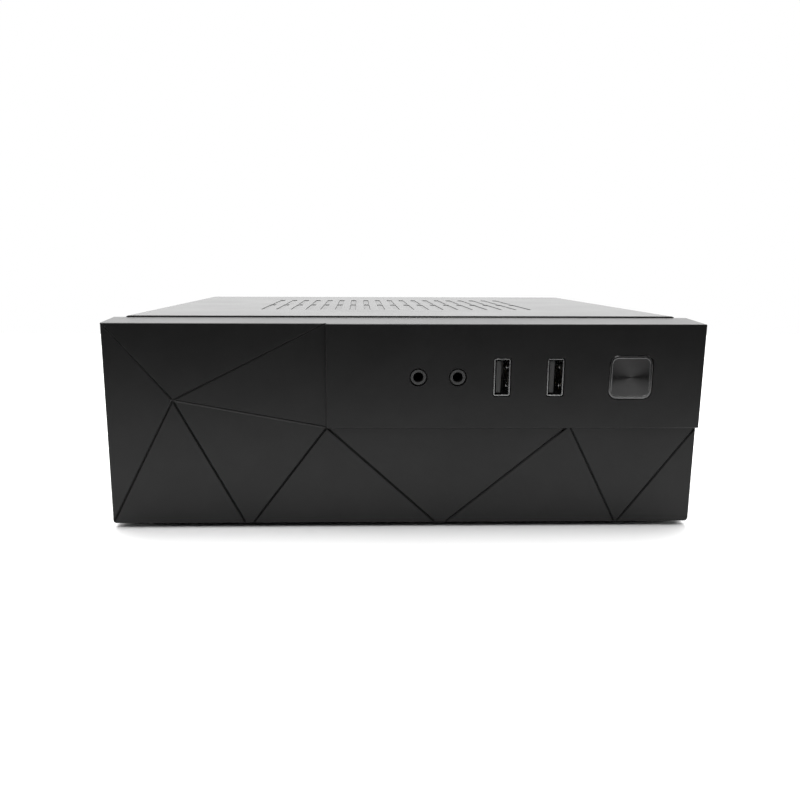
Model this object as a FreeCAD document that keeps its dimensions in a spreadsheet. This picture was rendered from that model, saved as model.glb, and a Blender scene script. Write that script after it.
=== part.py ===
import FreeCAD, Part
import math
import os
import re

import Sketcher
from FreeCAD import Placement, Rotation, Vector

# A slim desktop computer: a moulded front bezel on a sheet-metal tray, a cover that slides off to the
# rear, and a small square board with its cooler, memory, drive and front sockets inside.
# Millimetres. X runs to the right, Y to the rear and Z up. The origin lies on the floor, under the
# middle of the whole. "Front" heights and places are measured from the bezel's centre and top edge.

# how many there are of each thing that repeats
TOP_SLOTS = 19
SIDE_SLOTS = 14
REAR_VENTS = 15
FLOOR_VENTS = 15
FINS = 25
CHIPSET_FINS = 7
FAN_BLADES = 7
COILS = 5

BLADE_LEAN = 32      # degrees that a fan blade is pitched by
SLOT_END = 0.49      # corner radius of a slot as a share of its width, just short of a half circle
ROW_SHARE = 0.87     # spacing of staggered rows as a share of the spacing within a row
BEND_SHARE = 0.45    # share of its shorter neighbour that a lead's bend may take up
SPRING_START = 0.25  # where a USB socket's springs start, as a share of its depth
SPRING_END = 0.7     # where they end
CHIP_SHARE = 0.4     # height of a memory chip as a share of its module's
MEMORY_CHIPS = (-2.4, -1.2, 1.2, 2.4)      # places along a module, in sixths of its length
MOST_PARTS = 60

SIZES = [
    # the case as a whole
    ("bezel_w", 210, "width of the bezel"),
    ("bezel_tall", 72, "height of the bezel"),
    ("bezel_deep", 17.3, "depth of the bezel, without its raised block"),
    ("top_rise", 1, "how much higher the bezel's rear edge is than its front edge"),
    ("case_deep", 200, "from the bezel's front plane to the cover's rear edge"),
    ("foot_tall", 3, "height of a rubber foot"),
    ("rear_proud", 2.2, "how far the rear sockets stand out behind the cover"),
    # sheet metal
    ("sheet", 0.8, "thickness of tray and cover"),
    ("slide_gap", 0.25, "clearance between the tray and the sliding cover"),
    ("cover_inset", 3.7, "how far the cover's side lies inside the bezel's edge"),
    ("cover_proud", 0.5, "how far the cover stands above the bezel's rear edge"),
    ("bezel_gap", 0.4, "open line between bezel and cover"),
    ("bend", 1.6, "outer radius of the cover's bends"),
    ("hem_w", 9, "width of the hems under the tray"),
    ("flange_w", 9, "width of the cover's rear flange at the sides"),
    ("flange_top", 5, "width of the cover's rear flange at the top"),
    ("lip", 9, "width of the tray's folded lips"),
    ("vent_w", 2.6, "width of a vent slot in the cover"),
    ("vent_long", 44, "length of a vent slot in the cover"),
    ("vent_pitch", 6.2, "spacing of the vent slots"),
    ("vent_row", 48.5, "spacing of the two rows of slots"),
    ("vent_start", 61, "from the front plane to the first row"),
    ("side_vent_long", 30, "height of a slot in the cover's side"),
    ("bottom_bolts", 75, "spacing of the bolt pattern in the tray's floor"),
    ("bottom_bolt_r", 2.1, "radius of a bolt hole in the tray's floor"),
    ("foot_r", 8, "radius of a rubber foot"),
    ("foot_inset_x", 24, "from the cover's side to a foot's centre"),
    ("foot_inset_y", 16, "from the cover's ends to a foot's centre"),
    ("foot_taper", 0.8, "how much narrower a foot is at the floor"),
    ("screw_r", 1.5, "radius of a case screw"),
    ("screw_gap", 0.1, "clearance of a case screw in its hole"),
    ("free_gap", 0.3, "clearance around a screw or arm that passes through a plate"),
    ("screw_head", 1.9, "a screw head's radius, as a multiple of the shank's"),
    ("screw_slot", 0.6, "width of the cross in a screw's head"),
    ("cover_screw_long", 5, "length of a cover screw"),
    ("cover_screw_in", 12, "from the tray's floor or the flange to a cover screw"),
    ("through", 1, "how far a cutting tool runs past the face that it cuts"),
    ("weld", 0.2, "how far the shapes that make one solid run into each other"),
    ("rear_vent_r", 2, "radius of a round vent in the rear wall"),
    ("rear_vent_pitch", 6.4, "spacing of the round vents"),
    ("rear_vent_up", 5, "from the socket opening to the round vents"),
    ("rear_vent_start", 28, "from the centre to the first round vent"),
    ("floor_vent_w", 3, "width of a slot in the tray's floor"),
    ("floor_vent_long", 56, "length of a slot in the tray's floor"),
    ("floor_vent_pitch", 8, "spacing of the slots in the tray's floor"),
    # bezel
    ("wall", 2.4, "wall of the bezel"),
    ("bezel_drop", 1, "how far the bezel reaches below the tray"),
    ("corner", 1.2, "radius of the bezel's corners"),
    ("edge", 0.4, "rounding of the bezel's front edges"),
    ("block_rise", 2.5, "how far the block stands out"),
    ("block_left", 27.5, "from the bezel's centre to the block's left edge"),
    ("block_tall", 36.7, "from the bezel's top to the block's lower edge"),
    ("groove_w", 0.9, "width of a V-groove"),
    ("groove_deep", 0.38, "depth of a V-groove"),
    ("hook_in", 15, "from the bezel's side to a snap hook"),
    ("hook_w", 8, "width of a snap hook"),
    ("hook_long", 2.2, "how far a snap hook reaches behind the tray's front"),
    ("hook_thick", 1.6, "thickness of a snap hook"),
    ("hook_barb", 0.9, "how far a hook's barb reaches"),
    # where the grooves turn, from the bezel's centre and lower edge
    ("peak_x", 81.5, "from the centre to the left star point"),
    ("peak_z", 45.1, "from the lower edge to the left star point"),
    ("foot_a_x", 57.2, "where the first low groove ends"),
    ("foot_b_x", 54.5, "where the second low groove ends"),
    ("foot_c_x", 11.7, "where the third low groove ends"),
    ("foot_d_x", 15.4, "where the fourth low groove ends"),
    ("foot_e_x", 77.7, "where the fifth low groove ends"),
    ("foot_f_x", 78.5, "where the sixth low groove ends"),
    ("top_a_x", 58.4, "where the rising groove meets the block"),
    ("top_b_x", 59.7, "where the falling groove leaves the block"),
    # front sockets and button
    ("port_down", 18.5, "from the bezel's top to the sockets' centre line"),
    ("jack_a_x", 4.7, "from the centre to the left jack"),
    ("jack_b_x", 18.5, "from the centre to the right jack"),
    ("usb_a_x", 34, "from the centre to the left USB socket"),
    ("usb_b_x", 52.8, "from the centre to the right USB socket"),
    ("button_x", 79.4, "from the centre to the power button"),
    ("jack_r", 1.8, "bore of a jack"),
    ("jack_nose_r", 2.65, "radius of a jack's nose"),
    ("jack_hole_r", 3.15, "hole in the bezel for a jack"),
    ("jack_bore", 12, "depth of a jack's bore"),
    ("jack_body", 9, "width of a jack's housing"),
    ("jack_rise", 10.6, "height of a jack's housing"),
    ("jack_gap", 0.4, "from the bezel's wall to a jack's housing"),
    ("usb_w", 5.7, "short side of a USB shell"),
    ("usb_long", 13.1, "long side of a USB shell"),
    ("usb_deep", 14, "depth of a USB shell"),
    ("usb_wall", 0.4, "sheet of a USB shell"),
    ("usb_gap", 0.3, "gap in the bezel around a USB shell"),
    ("usb_tongue", 1.6, "thickness of a USB socket's tongue"),
    ("usb_tongue_in", 0.6, "from the shell's side to the tongue"),
    ("usb_tongue_back", 1.2, "from the shell's mouth to the tongue"),
    ("usb_root", 2.6, "thickness of the block that holds the tongue"),
    ("usb_window", 1.8, "width of a spring window in the shell"),
    ("usb_round", 0.7, "corner radius of a USB shell"),
    ("recess", 0.3, "how far the sockets lie behind the block's face"),
    ("button_w", 15.1, "side of the power button"),
    ("button_round", 3, "corner radius of the power button"),
    ("button_gap", 0.3, "gap around the power button"),
    ("button_back", 0.1, "how far the button lies behind the block's face, and its skirt behind the wall"),
    ("button_skirt", 5, "length of the button's skirt behind the wall"),
    ("skirt_proud", 1, "how far the skirt stands outside the face"),
    ("skirt_wall", 1.2, "wall of the skirt"),
    ("button_travel", 0.8, "travel of the button"),
    ("ring_w", 0.95, "width of the ring around the metal face"),
    ("insert_thick", 0.6, "thickness of the metal face"),
    ("stem_r", 2.2, "radius of the button's stem"),
    ("plunger_r", 1.7, "radius of the switch's plunger"),
    ("plunger_out", 2, "how far the plunger stands out"),
    ("plunger_in", 1.6, "how far the plunger lies in the switch"),
    ("plunger_gap", 0.05, "clearance of the plunger in the switch"),
    ("switch_w", 7, "side of the switch"),
    ("switch_tall", 4.3, "height of the switch"),
    ("switch_spare", 0.4, "room left behind the pressed plunger"),
    ("led_w", 3.2, "width of the light beside the switch"),
    ("led_tall", 1.8, "height of the light beside the switch"),
    ("led_thick", 1.2, "thickness of the light beside the switch"),
    ("led_gap", 0.8, "from the switch to the light"),
    ("io_margin", 12.8, "from the sockets' centre line to the front board's edge"),
    ("io_side", 9.2, "from the left jack to the front board's edge"),
    ("io_end", 16.5, "from the button to the front board's edge"),
    ("window_past", 1, "how far the tray's front window reaches past the front board"),
    ("boss_r", 2.6, "radius of a screw boss"),
    ("boss_in", 3.2, "from the front board's edge to a boss"),
    ("small_screw_r", 1, "radius of a small screw"),
    ("small_screw_long", 6, "length of a small screw"),
    ("small_screw_gap", 0.15, "clearance of a small screw in a board"),
    ("switch_plug_in", 8, "from the button to its plug"),
    ("header_w", 12.8, "width of an inner plug"),
    ("header_thick", 5, "thickness of an inner plug"),
    ("header_tall", 6.5, "height of an inner plug"),
    ("plug_rise", 9.5, "height of a plug on the main board"),
    ("plug_in", 9, "from the main board's front edge to its plugs"),
    ("fan_plug_out", 14, "from the cooler's side to the fan's plug"),
    # main board and what stands on it
    ("board_w", 170, "side of the main board"),
    ("pcb", 1.6, "thickness of a circuit board"),
    ("board_gap", 1, "from the board to the rear wall"),
    ("standoff", 6.5, "height of a standoff"),
    ("standoff_r", 2.9, "radius of a standoff"),
    ("hole_x", 157.48, "spacing of the board's screws across"),
    ("hole_y", 154.94, "spacing of the board's screws along"),
    ("hole_back", 10.16, "from the board's rear edge to its rear screws"),
    ("io_w", 158.75, "width of the rear socket opening"),
    ("io_tall", 44.45, "height of the rear socket opening"),
    ("io_below", 2.3, "from the board's face down to the opening's edge"),
    ("shield", 0.4, "thickness of the rear socket plate"),
    ("shield_rim", 1.2, "how far the socket plate reaches behind the wall"),
    ("shield_gap", 0.1, "clearance of the socket plate in its opening"),
    ("cooler_x", 20, "from the centre to the processor"),
    ("cooler_back", 85, "from the board's rear edge to the processor"),
    ("cpu_w", 37.5, "side of the processor's socket"),
    ("cpu_tall", 5.6, "from the board's face to the processor's lid"),
    ("cpu_frame", 2.2, "width of the socket's frame"),
    ("cpu_frame_tall", 3, "height of the socket's frame"),
    ("cpu_seat", 1.6, "from the board's face to the processor"),
    ("cpu_plate", 1.2, "thickness of the processor's plate"),
    ("cpu_lid_in", 2.2, "from the processor's edge to its lid"),
    ("cooler_w", 84, "side of the cooler"),
    ("cooler_hole", 75, "spacing of the cooler's screws"),
    ("cooler_base", 4, "thickness of the heatsink's base"),
    ("cooler_fins", 16, "height of the fins"),
    ("fin", 1.1, "thickness of a fin"),
    ("fin_pitch", 3.4, "spacing of the fins"),
    ("fan_tall", 14, "height of the fan"),
    ("fan_r", 39, "radius of the fan's opening"),
    ("blade_r", 37, "radius of the fan's blades"),
    ("hub_r", 14, "radius of the fan's hub"),
    ("shaft_r", 1.5, "radius of the fan's shaft"),
    ("shaft_gap", 0.04, "clearance of the fan's shaft"),
    ("bearing_r", 4, "radius of the fan's bearing"),
    ("bearing_tall", 9.3, "height of the fan's bearing"),
    ("spoke_w", 3.2, "width of the spokes that hold the bearing"),
    ("spoke_thick", 2, "thickness of the spokes"),
    ("cup_wall", 1.4, "wall of the fan's hub"),
    ("cup_rise", 0.8, "gap between the hub and the spokes"),
    ("blade_w", 15, "width of a fan blade"),
    ("blade_thick", 1.4, "thickness of a fan blade"),
    ("lug_r", 4.4, "radius of a lug for the cooler's screws"),
    ("backplate_thick", 2.6, "thickness of the cooler's backplate"),
    ("backplate_gap", 0.4, "insulating gap between backplate and board"),
    ("backplate_edge", 5, "from the cooler's screws to the backplate's edge"),
    ("backplate_bar", 13, "width of the backplate's bars"),
    ("memory_a_x", 69, "from the centre to the left memory module"),
    ("memory_b_x", 79, "from the centre to the right memory module"),
    ("memory_long", 67.6, "length of a memory module"),
    ("memory_tall", 30, "height of a memory module"),
    ("memory_thick", 1.2, "thickness of a memory module's board"),
    ("memory_chip_thick", 0.9, "how far a memory chip stands out"),
    ("memory_chip_w", 9.2, "width of a memory chip"),
    ("memory_socket_w", 6.8, "width of a memory socket"),
    ("memory_socket_tall", 8, "height of a memory socket's ends"),
    ("memory_socket_end", 3, "length of a memory socket's ends"),
    ("memory_slot_tall", 5.5, "height of a memory socket between its ends"),
    ("memory_slot_gap", 0.1, "clearance of a module in its socket"),
    ("memory_seat", 3, "from the board's face to a module's edge"),
    ("coin_r", 10, "radius of the coin cell"),
    ("coin_thick", 3.2, "thickness of the coin cell"),
    ("coin_wall", 1.8, "wall of the cell's holder"),
    ("coin_x", 62, "from the centre to the coin cell"),
    ("coin_y", 24, "from the board's front edge to the coin cell"),
    ("chipset_w", 30, "side of the small heatsink"),
    ("chipset_tall", 10, "height of the small heatsink"),
    ("chipset_base", 3, "thickness of the small heatsink's base"),
    ("chipset_fin", 1.4, "thickness of the small heatsink's fins"),
    ("chipset_pitch", 4.6, "spacing of the small heatsink's fins"),
    ("chipset_x", 58, "from the centre to the small heatsink"),
    ("chipset_y", 62, "from the board's front edge to the small heatsink"),
    ("coil_w", 9, "side of a power coil"),
    ("coil_tall", 6, "height of a power coil"),
    ("coil_pitch", 12, "spacing of the power coils"),
    ("coil_x", 46, "from the centre to the first power coil"),
    ("coil_back", 36, "from the board's rear edge to the power coils"),
    ("can_r", 3.2, "radius of a capacitor"),
    ("can_tall", 8.5, "height of a capacitor"),
    ("can_pitch", 9, "spacing of the capacitors"),
    ("power_socket_w", 9.6, "side of the board's power socket"),
    ("power_socket_tall", 12, "height of the board's power socket"),
    ("power_socket_back", 38, "from the board's rear edge to the power socket"),
    ("power_socket_in", 2, "from the inlet's line to the power socket"),
    # rear sockets
    ("rear_jack_w", 8.6, "width of a rear jack's housing"),
    ("rear_jack_pitch", 8.8, "spacing of the rear jacks"),
    ("pin_pitch", 2.3, "spacing of the analogue video socket's pin holes"),
    ("pin_row", 2, "spacing of the rows of pin holes"),
    ("pin_r", 0.5, "radius of a pin hole"),
    ("pin_deep", 6, "depth of a pin hole"),
    # drive
    ("drive_w", 69.85, "width of the drive"),
    ("drive_long", 100, "length of the drive"),
    ("drive_thick", 7, "thickness of the drive"),
    ("drive_hang", 4.2, "from the tray's lips down to the drive"),
    ("drive_start", 35, "from the main board's front edge to the drive"),
    ("drive_side", 3, "from the tray's side to the drive"),
    ("drive_screw_x", 61.72, "spacing of the drive's screws across"),
    ("drive_screw_y", 76.6, "spacing of the drive's screws along"),
    ("drive_screw_back", 9.4, "from the drive's front edge to its first screws"),
    ("drive_screw_long", 3.5, "length of a drive screw"),
    ("drive_plug_w", 20, "width of the plug on the drive"),
    ("drive_plug_long", 8, "length of the plug on the drive"),
    ("drive_plug_thick", 4.5, "thickness of the plug on the drive"),
    ("drive_socket_in", 23.5, "from the main board's side to the drive's plug on it"),
    ("bracket_edge", 1, "how far the bracket reaches past the drive"),
    ("bracket_tab", 48, "width of the bracket's end tabs"),
    ("bracket_back", 4, "from the walls to the bracket's full width"),
    ("bracket_drop", 10.5, "height of the bracket's end tabs below the tray's lips"),
    ("bracket_screw_in", 6, "from a tab's edge to its screw"),
    ("bracket_screw_down", 7, "from the tray's lips down to the tabs' screws"),
    # power inlet
    ("inlet_x", 80, "from the centre to the power inlet"),
    ("inlet_r", 4.5, "radius of the inlet's thread"),
    ("inlet_flange_r", 6, "radius of the inlet's flange"),
    ("inlet_flange", 1.8, "thickness of the inlet's flange"),
    ("inlet_bore_long", 10, "depth of the inlet's bore behind the wall"),
    ("inlet_pin_r", 1, "radius of the inlet's pin"),
    ("nut_tall", 2.4, "thickness of the inlet's nut"),
    ("nut_past", 0.8, "how far the nut's corners reach past the flange"),
    ("inlet_bore_r", 2.9, "bore of the inlet"),
    ("inlet_long", 14, "length of the inlet behind its flange"),
    ("lead_r", 1.5, "radius of an inner lead"),
    ("lead_up", 3, "from the front sockets' centre line up to their leads"),
]

LAYOUT = [
    ("face", "(block_rise - case_deep - rear_proud) / 2"),
    ("block_face", "face - block_rise"),
    ("block_in", "block_face + wall"),
    ("wall_front", "face + bezel_deep"),
    ("front_in", "wall_front + sheet"),
    ("cover_front", "wall_front + bezel_gap"),
    ("cover_back", "face + case_deep"),
    ("rear_out", "cover_back - sheet - slide_gap"),
    ("rear_in", "rear_out - sheet"),
    ("floor_top", "foot_tall + sheet"),
    ("bezel_low", "foot_tall - bezel_drop"),
    ("bezel_top", "bezel_low + bezel_tall"),
    ("bezel_half", "bezel_w / 2"),
    ("block_low", "bezel_top - block_tall"),
    ("top_slope", "top_rise / bezel_deep"),
    ("cover_top", "bezel_top + top_rise + cover_proud"),
    ("cover_low", "foot_tall - slide_gap - sheet"),
    ("cover_half", "bezel_half - cover_inset"),
    ("tray_half", "cover_half - sheet - slide_gap"),
    ("tray_in", "tray_half - sheet"),
    ("tray_top", "cover_top - sheet - slide_gap"),
    ("lip_low", "tray_top - sheet"),
    ("foot_x", "cover_half - foot_inset_x"),
    ("foot_front", "wall_front + foot_inset_y"),
    ("foot_back", "cover_back - foot_inset_y"),
    ("case_mid", "(wall_front + cover_back) / 2"),
    ("flange_x", "cover_half - flange_w / 2"),
    ("screw_low", "foot_tall + cover_screw_in"),
    ("screw_high", "cover_top - cover_screw_in"),
    ("hook_x", "bezel_half - hook_in"),
    ("socket_mouth", "block_face + recess"),
    ("button_face", "block_face + button_back"),
    ("skirt_face", "block_in + button_back"),
    ("slab_end", "skirt_face + skirt_wall"),
    ("port_z", "bezel_top - port_down"),
    ("io_left", "jack_a_x - io_side"),
    ("io_right", "button_x + io_end"),
    ("io_bottom", "port_z - io_margin"),
    ("io_top", "port_z + io_margin"),
    ("io_front", "block_face + recess + usb_deep"),
    ("io_back", "io_front + pcb"),
    ("skirt_half", "button_w / 2 + skirt_proud"),
    ("skirt_end", "block_in + button_skirt"),
    ("switch_face", "io_front - switch_tall"),
    ("plunger_face", "switch_face - plunger_out"),
    ("board_half", "board_w / 2"),
    ("board_low", "floor_top + standoff"),
    ("board_top", "board_low + pcb"),
    ("board_back", "rear_in - board_gap"),
    ("board_front", "board_back - board_w"),
    ("hole_rear", "board_back - hole_back"),
    ("hole_front", "hole_rear - hole_y"),
    ("opening_low", "board_top - io_below"),
    ("opening_top", "opening_low + io_tall"),
    ("socket_face", "cover_back + rear_proud"),
    ("cooler_y", "board_back - cooler_back"),
    ("heatsink_low", "board_top + cpu_tall"),
    ("fins_low", "heatsink_low + cooler_base"),
    ("fan_low", "fins_low + cooler_fins"),
    ("fan_top", "fan_low + fan_tall"),
    ("memory_y", "cooler_y"),
    ("module_low", "board_top + memory_seat"),
    ("drive_top", "lip_low - drive_hang"),
    ("drive_low", "drive_top - drive_thick"),
    ("drive_x", "-tray_in + drive_side + drive_w / 2"),
    ("bracket_half", "bracket_tab / 2"),
    ("bracket_screw_z", "lip_low - bracket_screw_down"),
    ("drive_front", "board_front + drive_start"),
    ("drive_screw_front", "drive_front + drive_screw_back"),
    ("drive_plug_y", "drive_front - drive_plug_long / 2"),
    ("drive_plug_z", "(drive_low + drive_top) / 2"),
    ("drive_y", "drive_front + drive_long / 2"),
    ("inlet_z", "(opening_top + shield_rim + cover_top - flange_top) / 2"),
    ("power_socket_y", "board_back - power_socket_back"),
    ("power_socket_x", "inlet_x - power_socket_in"),
    ("plug_top", "board_top + plug_rise"),
    ("plug_y", "board_front + plug_in"),
    ("drive_socket_x", "drive_socket_in - board_half"),
    ("lead_z", "port_z + lead_up"),
    ("switch_plug_x", "button_x - switch_plug_in"),
    ("fan_plug_x", "cooler_x - cooler_w / 2 - fan_plug_out"),
    ("fan_lead_z", "fan_low + 3 * lead_r"),
    ("usb_plug_x", "(usb_a_x + usb_b_x) / 2"),
    ("audio_plug_x", "(jack_a_x + jack_b_x) / 2"),
]

doc = FreeCAD.newDocument("MiniPc")
home = {}
nodes = []


# ---------------------------------------------------------------- sheets and formulas

def bind(formula):
    """The formula with each alias led by the name of its sheet."""
    return re.sub(r"[a-z][a-z_0-9]*", lambda word: home.get(word.group(), word.group()), str(formula))


def number(formula):
    """The formula's present value."""
    return float(sizes.evalExpression(bind(formula)))


def fill(sheet, rows):
    for row, (alias, content) in enumerate(rows, start=1):
        sheet.set(f"A{row}", content)
        sheet.setAlias(f"A{row}", alias)
        home[alias] = f"{sheet.Name}.{alias}"
    doc.recompute()


sizes = doc.addObject("Spreadsheet::Sheet", "Sizes")
fill(sizes, [(alias, str(size)) for alias, size, meaning in SIZES])
for line, (_, _, meaning) in enumerate(SIZES, start=1):
    sizes.set(f"B{line}", meaning)

layout = doc.addObject("Spreadsheet::Sheet", "Layout")
for line, (alias, formula) in enumerate(LAYOUT, start=1):
    layout.set(f"A{line}", "=" + bind(formula))
    layout.setAlias(f"A{line}", alias)
    home[alias] = alias
doc.recompute()
home.update({alias: f"Layout.{alias}" for alias, _ in LAYOUT})


# ---------------------------------------------------------------- solids by formula

TURNS = {
    "y": Rotation(Vector(1, 0, 0), -90),
    "-y": Rotation(Vector(1, 0, 0), 90),
    "z": Rotation(),
}


def place(piece, x, y, z, turn=None):
    if turn:
        piece.Placement = Placement(Vector(), turn)
    for side, formula in zip("xyz", (x, y, z)):
        piece.setExpression(f"Placement.Base.{side}", bind(formula))
    return piece


def box(name, x, y, z):
    """A block between the two ends given for each axis."""
    piece = doc.addObject("Part::Box", name)
    for key, (low, high) in zip(("Length", "Width", "Height"), (x, y, z)):
        piece.setExpression(key, bind(f"({high}) - ({low})"))
    return place(piece, x[0], y[0], z[0])


def about(middle, half):
    """The two ends of a stretch with this middle and half-length."""
    return f"({middle}) - ({half})", f"({middle}) + ({half})"


def square(name, x, y, half, z):
    """A block with a square base, centred on x and y."""
    return box(name, about(x, half), about(y, half), z)


def rod(name, axis, x, y, z, radius, length):
    """A round bar that starts at a point and runs along one axis."""
    piece = doc.addObject("Part::Cylinder", name)
    piece.setExpression("Radius", bind(radius))
    piece.setExpression("Height", bind(length))
    return place(piece, x, y, z, TURNS[axis])


def joined(name, pieces):
    piece = doc.addObject("Part::MultiFuse", name)
    piece.Shapes = pieces
    piece.Refine = True
    return piece


def cut(name, base, tools):
    piece = doc.addObject("Part::Cut", name)
    piece.Base = base
    piece.Tool = tools[0] if len(tools) == 1 else group(name + "_tools", tools)
    piece.Refine = True
    return piece


def group(name, pieces):
    piece = doc.addObject("Part::Compound", name)
    piece.Links = pieces
    return piece


def node(name, piece):
    """Names the piece as one of the object's own parts."""
    piece.Label = name
    nodes.append(piece)
    return piece


def pan_screw(name, axis, x, y, z, radius, length):
    """A cross-head screw: its head stands on the point and its shank runs against the axis."""
    shank = rod(name + "_shank", "z", "0", "0", f"-({length})", radius, f"{length} + weld")
    head = rod(name + "_head", "z", "0", "0", "0", f"{radius} * screw_head", radius)
    cross = [box(name + "_cross", about("0", half_x), about("0", half_y),
                 (f"{radius} / 2", f"{radius} + through"))
             for half_x, half_y in ((radius, "screw_slot / 2"), ("screw_slot / 2", radius))]
    return place(cut(name, joined(name + "_blank", [shank, head]), cross), x, y, z, TURNS[axis])


# ---------------------------------------------------------------- sketches by formula

def new_body(name, x="0", y="0", z="0", turn=None):
    return place(doc.addObject("PartDesign::Body", name), x, y, z, turn)


def new_sketch(body, role, offset="0"):
    """A sketch on one of the body's origin planes, moved along its normal."""
    sketch = body.newObject("Sketcher::SketchObject", body.Name + "_sketch")
    plane = next(feature for feature in body.Origin.OriginFeatures if feature.Role == role)
    sketch.AttachmentSupport = [(plane, "")]
    sketch.MapMode = "FlatFace"
    sketch.setExpression("AttachmentOffset.Base.z", bind(offset))
    return sketch


def dimension(sketch, kind, where, formula):
    index = sketch.addConstraint(Sketcher.Constraint(kind, *where, number(formula)))
    sketch.setExpression(f"Constraints[{index}]", bind(formula))


def place_point(sketch, curve, end, x, y):
    """Ties one point of a curve to two formulas, measured from the sketch's origin."""
    for kind, formula in (("DistanceX", x), ("DistanceY", y)):
        dimension(sketch, kind, (-1, 1, curve, end), formula)


def draw_circle(sketch, x, y, radius):
    centre = Vector(number(x), number(y), 0)
    curve = sketch.addGeometry(Part.Circle(centre, Vector(0, 0, 1), number(radius)), False)
    dimension(sketch, "Radius", (curve,), radius)
    place_point(sketch, curve, 3, x, y)


def draw_outline(sketch, points):
    """A closed outline of straight lines through the points."""
    corners = [Vector(number(x), number(y), 0) for x, y in points]
    first = sketch.GeometryCount
    for start, end in zip(corners, corners[1:] + corners[:1]):
        sketch.addGeometry(Part.LineSegment(start, end), False)
    for index in range(len(points)):
        following = (index + 1) % len(points)
        sketch.addConstraint(Sketcher.Constraint("Coincident", first + index, 2, first + following, 1))
    for index, (x, y) in enumerate(points):
        place_point(sketch, first + index, 1, x, y)


def draw_rectangle(sketch, x, y, radius=None):
    """A rectangle between two ends for each axis, with round corners where a radius is given."""
    if radius is None:
        draw_outline(sketch, [(x[0], y[0]), (x[1], y[0]), (x[1], y[1]), (x[0], y[1])])
        return
    left, right, low, high, turn = (number(formula) for formula in (*x, *y, radius))
    first = sketch.GeometryCount
    sides = [((left + turn, low), (right - turn, low)), ((right, low + turn), (right, high - turn)),
             ((right - turn, high), (left + turn, high)), ((left, high - turn), (left, low + turn))]
    for start, end in sides:
        sketch.addGeometry(Part.LineSegment(Vector(*start, 0), Vector(*end, 0)), False)
    centres = [(right - turn, low + turn), (right - turn, high - turn),
               (left + turn, high - turn), (left + turn, low + turn)]
    for quarter, centre in enumerate(centres):
        round_edge = Part.Circle(Vector(*centre, 0), Vector(0, 0, 1), turn)
        start = math.radians(90 * quarter - 90)
        sketch.addGeometry(Part.ArcOfCircle(round_edge, start, start + math.pi / 2), False)
    for side in range(4):
        sketch.addConstraint(Sketcher.Constraint("Tangent", first + side, 2, first + 4 + side, 1))
        following = first + (side + 1) % 4
        sketch.addConstraint(Sketcher.Constraint("Tangent", first + 4 + side, 2, following, 1))
        straight = "Vertical" if side % 2 else "Horizontal"
        sketch.addConstraint(Sketcher.Constraint(straight, first + side))
    for corner in range(1, 4):
        sketch.addConstraint(Sketcher.Constraint("Equal", first + 4, first + 4 + corner))
    dimension(sketch, "Radius", (first + 4,), radius)
    dimension(sketch, "DistanceX", (-1, 1, first + 3, 1), x[0])
    dimension(sketch, "DistanceX", (-1, 1, first + 1, 1), x[1])
    dimension(sketch, "DistanceY", (-1, 1, first, 1), y[0])
    dimension(sketch, "DistanceY", (-1, 1, first + 2, 1), y[1])


def feature(body, kind, sketch, length, reverse=False):
    """A pad or pocket of the sketch, checked to have changed the body."""
    before = body.Shape.Volume if body.Tip else 0
    step = body.newObject("PartDesign::" + kind, body.Name + "_" + kind.lower())
    step.Profile = sketch
    step.setExpression("Length", bind(length))
    step.Reversed = reverse
    doc.recompute()
    if abs(body.Shape.Volume - before) < 1e-3:
        raise RuntimeError(f"{step.Label} changed nothing")
    return step


def repeat(body, step, sketch, count, pitch):
    """Repeats a feature in a straight row along its sketch's horizontal axis."""
    pattern = body.newObject("PartDesign::LinearPattern", body.Name + "_row")
    pattern.Originals = [step]
    pattern.Direction = (sketch, ["H_Axis"])
    pattern.Occurrences = count
    pattern.setExpression("Length", bind(f"({pitch}) * {count - 1}"))
    body.Tip = pattern
    doc.recompute()


def rounded_plate(name, x, z, radius, y):
    """A plate that faces the front, with round corners, between two depths."""
    body = new_body(name, y=y[0])
    sketch = new_sketch(body, "XZ_Plane")
    draw_rectangle(sketch, x, z, radius)
    feature(body, "Pad", sketch, f"({y[1]}) - ({y[0]})", reverse=True)
    return body


def tube(name, radius, points):
    """A lead of straight runs joined by arcs, through corner points given as formulas."""
    corners = [Vector(*(number(formula) for formula in point)) for point in points]
    thick = number(radius)
    edges, start, length = [], corners[0], 0
    for before, here, after in zip(corners, corners[1:], corners[2:]):
        into = (here - before).normalize()
        out = (after - here).normalize()
        half = into.getAngle(out) / 2
        run = min((here - before).Length, (after - here).Length)
        bend_r = BEND_SHARE * run / math.tan(half)
        reach = bend_r * math.tan(half)
        first, last = here - into * reach, here + out * reach
        inward = (out - into).normalize()
        middle = here + inward * (bend_r / math.cos(half) - bend_r)
        edges.append(Part.LineSegment(start, first).toShape())
        edges.append(Part.Arc(first, middle, last).toShape())
        length += (first - start).Length + 2 * half * bend_r
        start = last
        print(f"{name}: bend radius {bend_r:.1f} mm, {bend_r / (2 * thick):.1f} diameters")
    edges.append(Part.LineSegment(start, corners[-1]).toShape())
    length += (corners[-1] - start).Length
    profile = Part.Wire(Part.Circle(corners[0], corners[1] - corners[0], thick).toShape())
    solid = Part.Wire(edges).makePipeShell([profile], True, False)
    expected = math.pi * thick ** 2 * length
    if abs(solid.Volume - expected) > 0.01 * expected:
        raise RuntimeError(f"{name} has the volume {solid.Volume:.1f}, not {expected:.1f}")
    piece = doc.addObject("Part::Feature", name)
    piece.Shape = solid
    return node(name, piece)


# ---------------------------------------------------------------- front bezel

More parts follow.
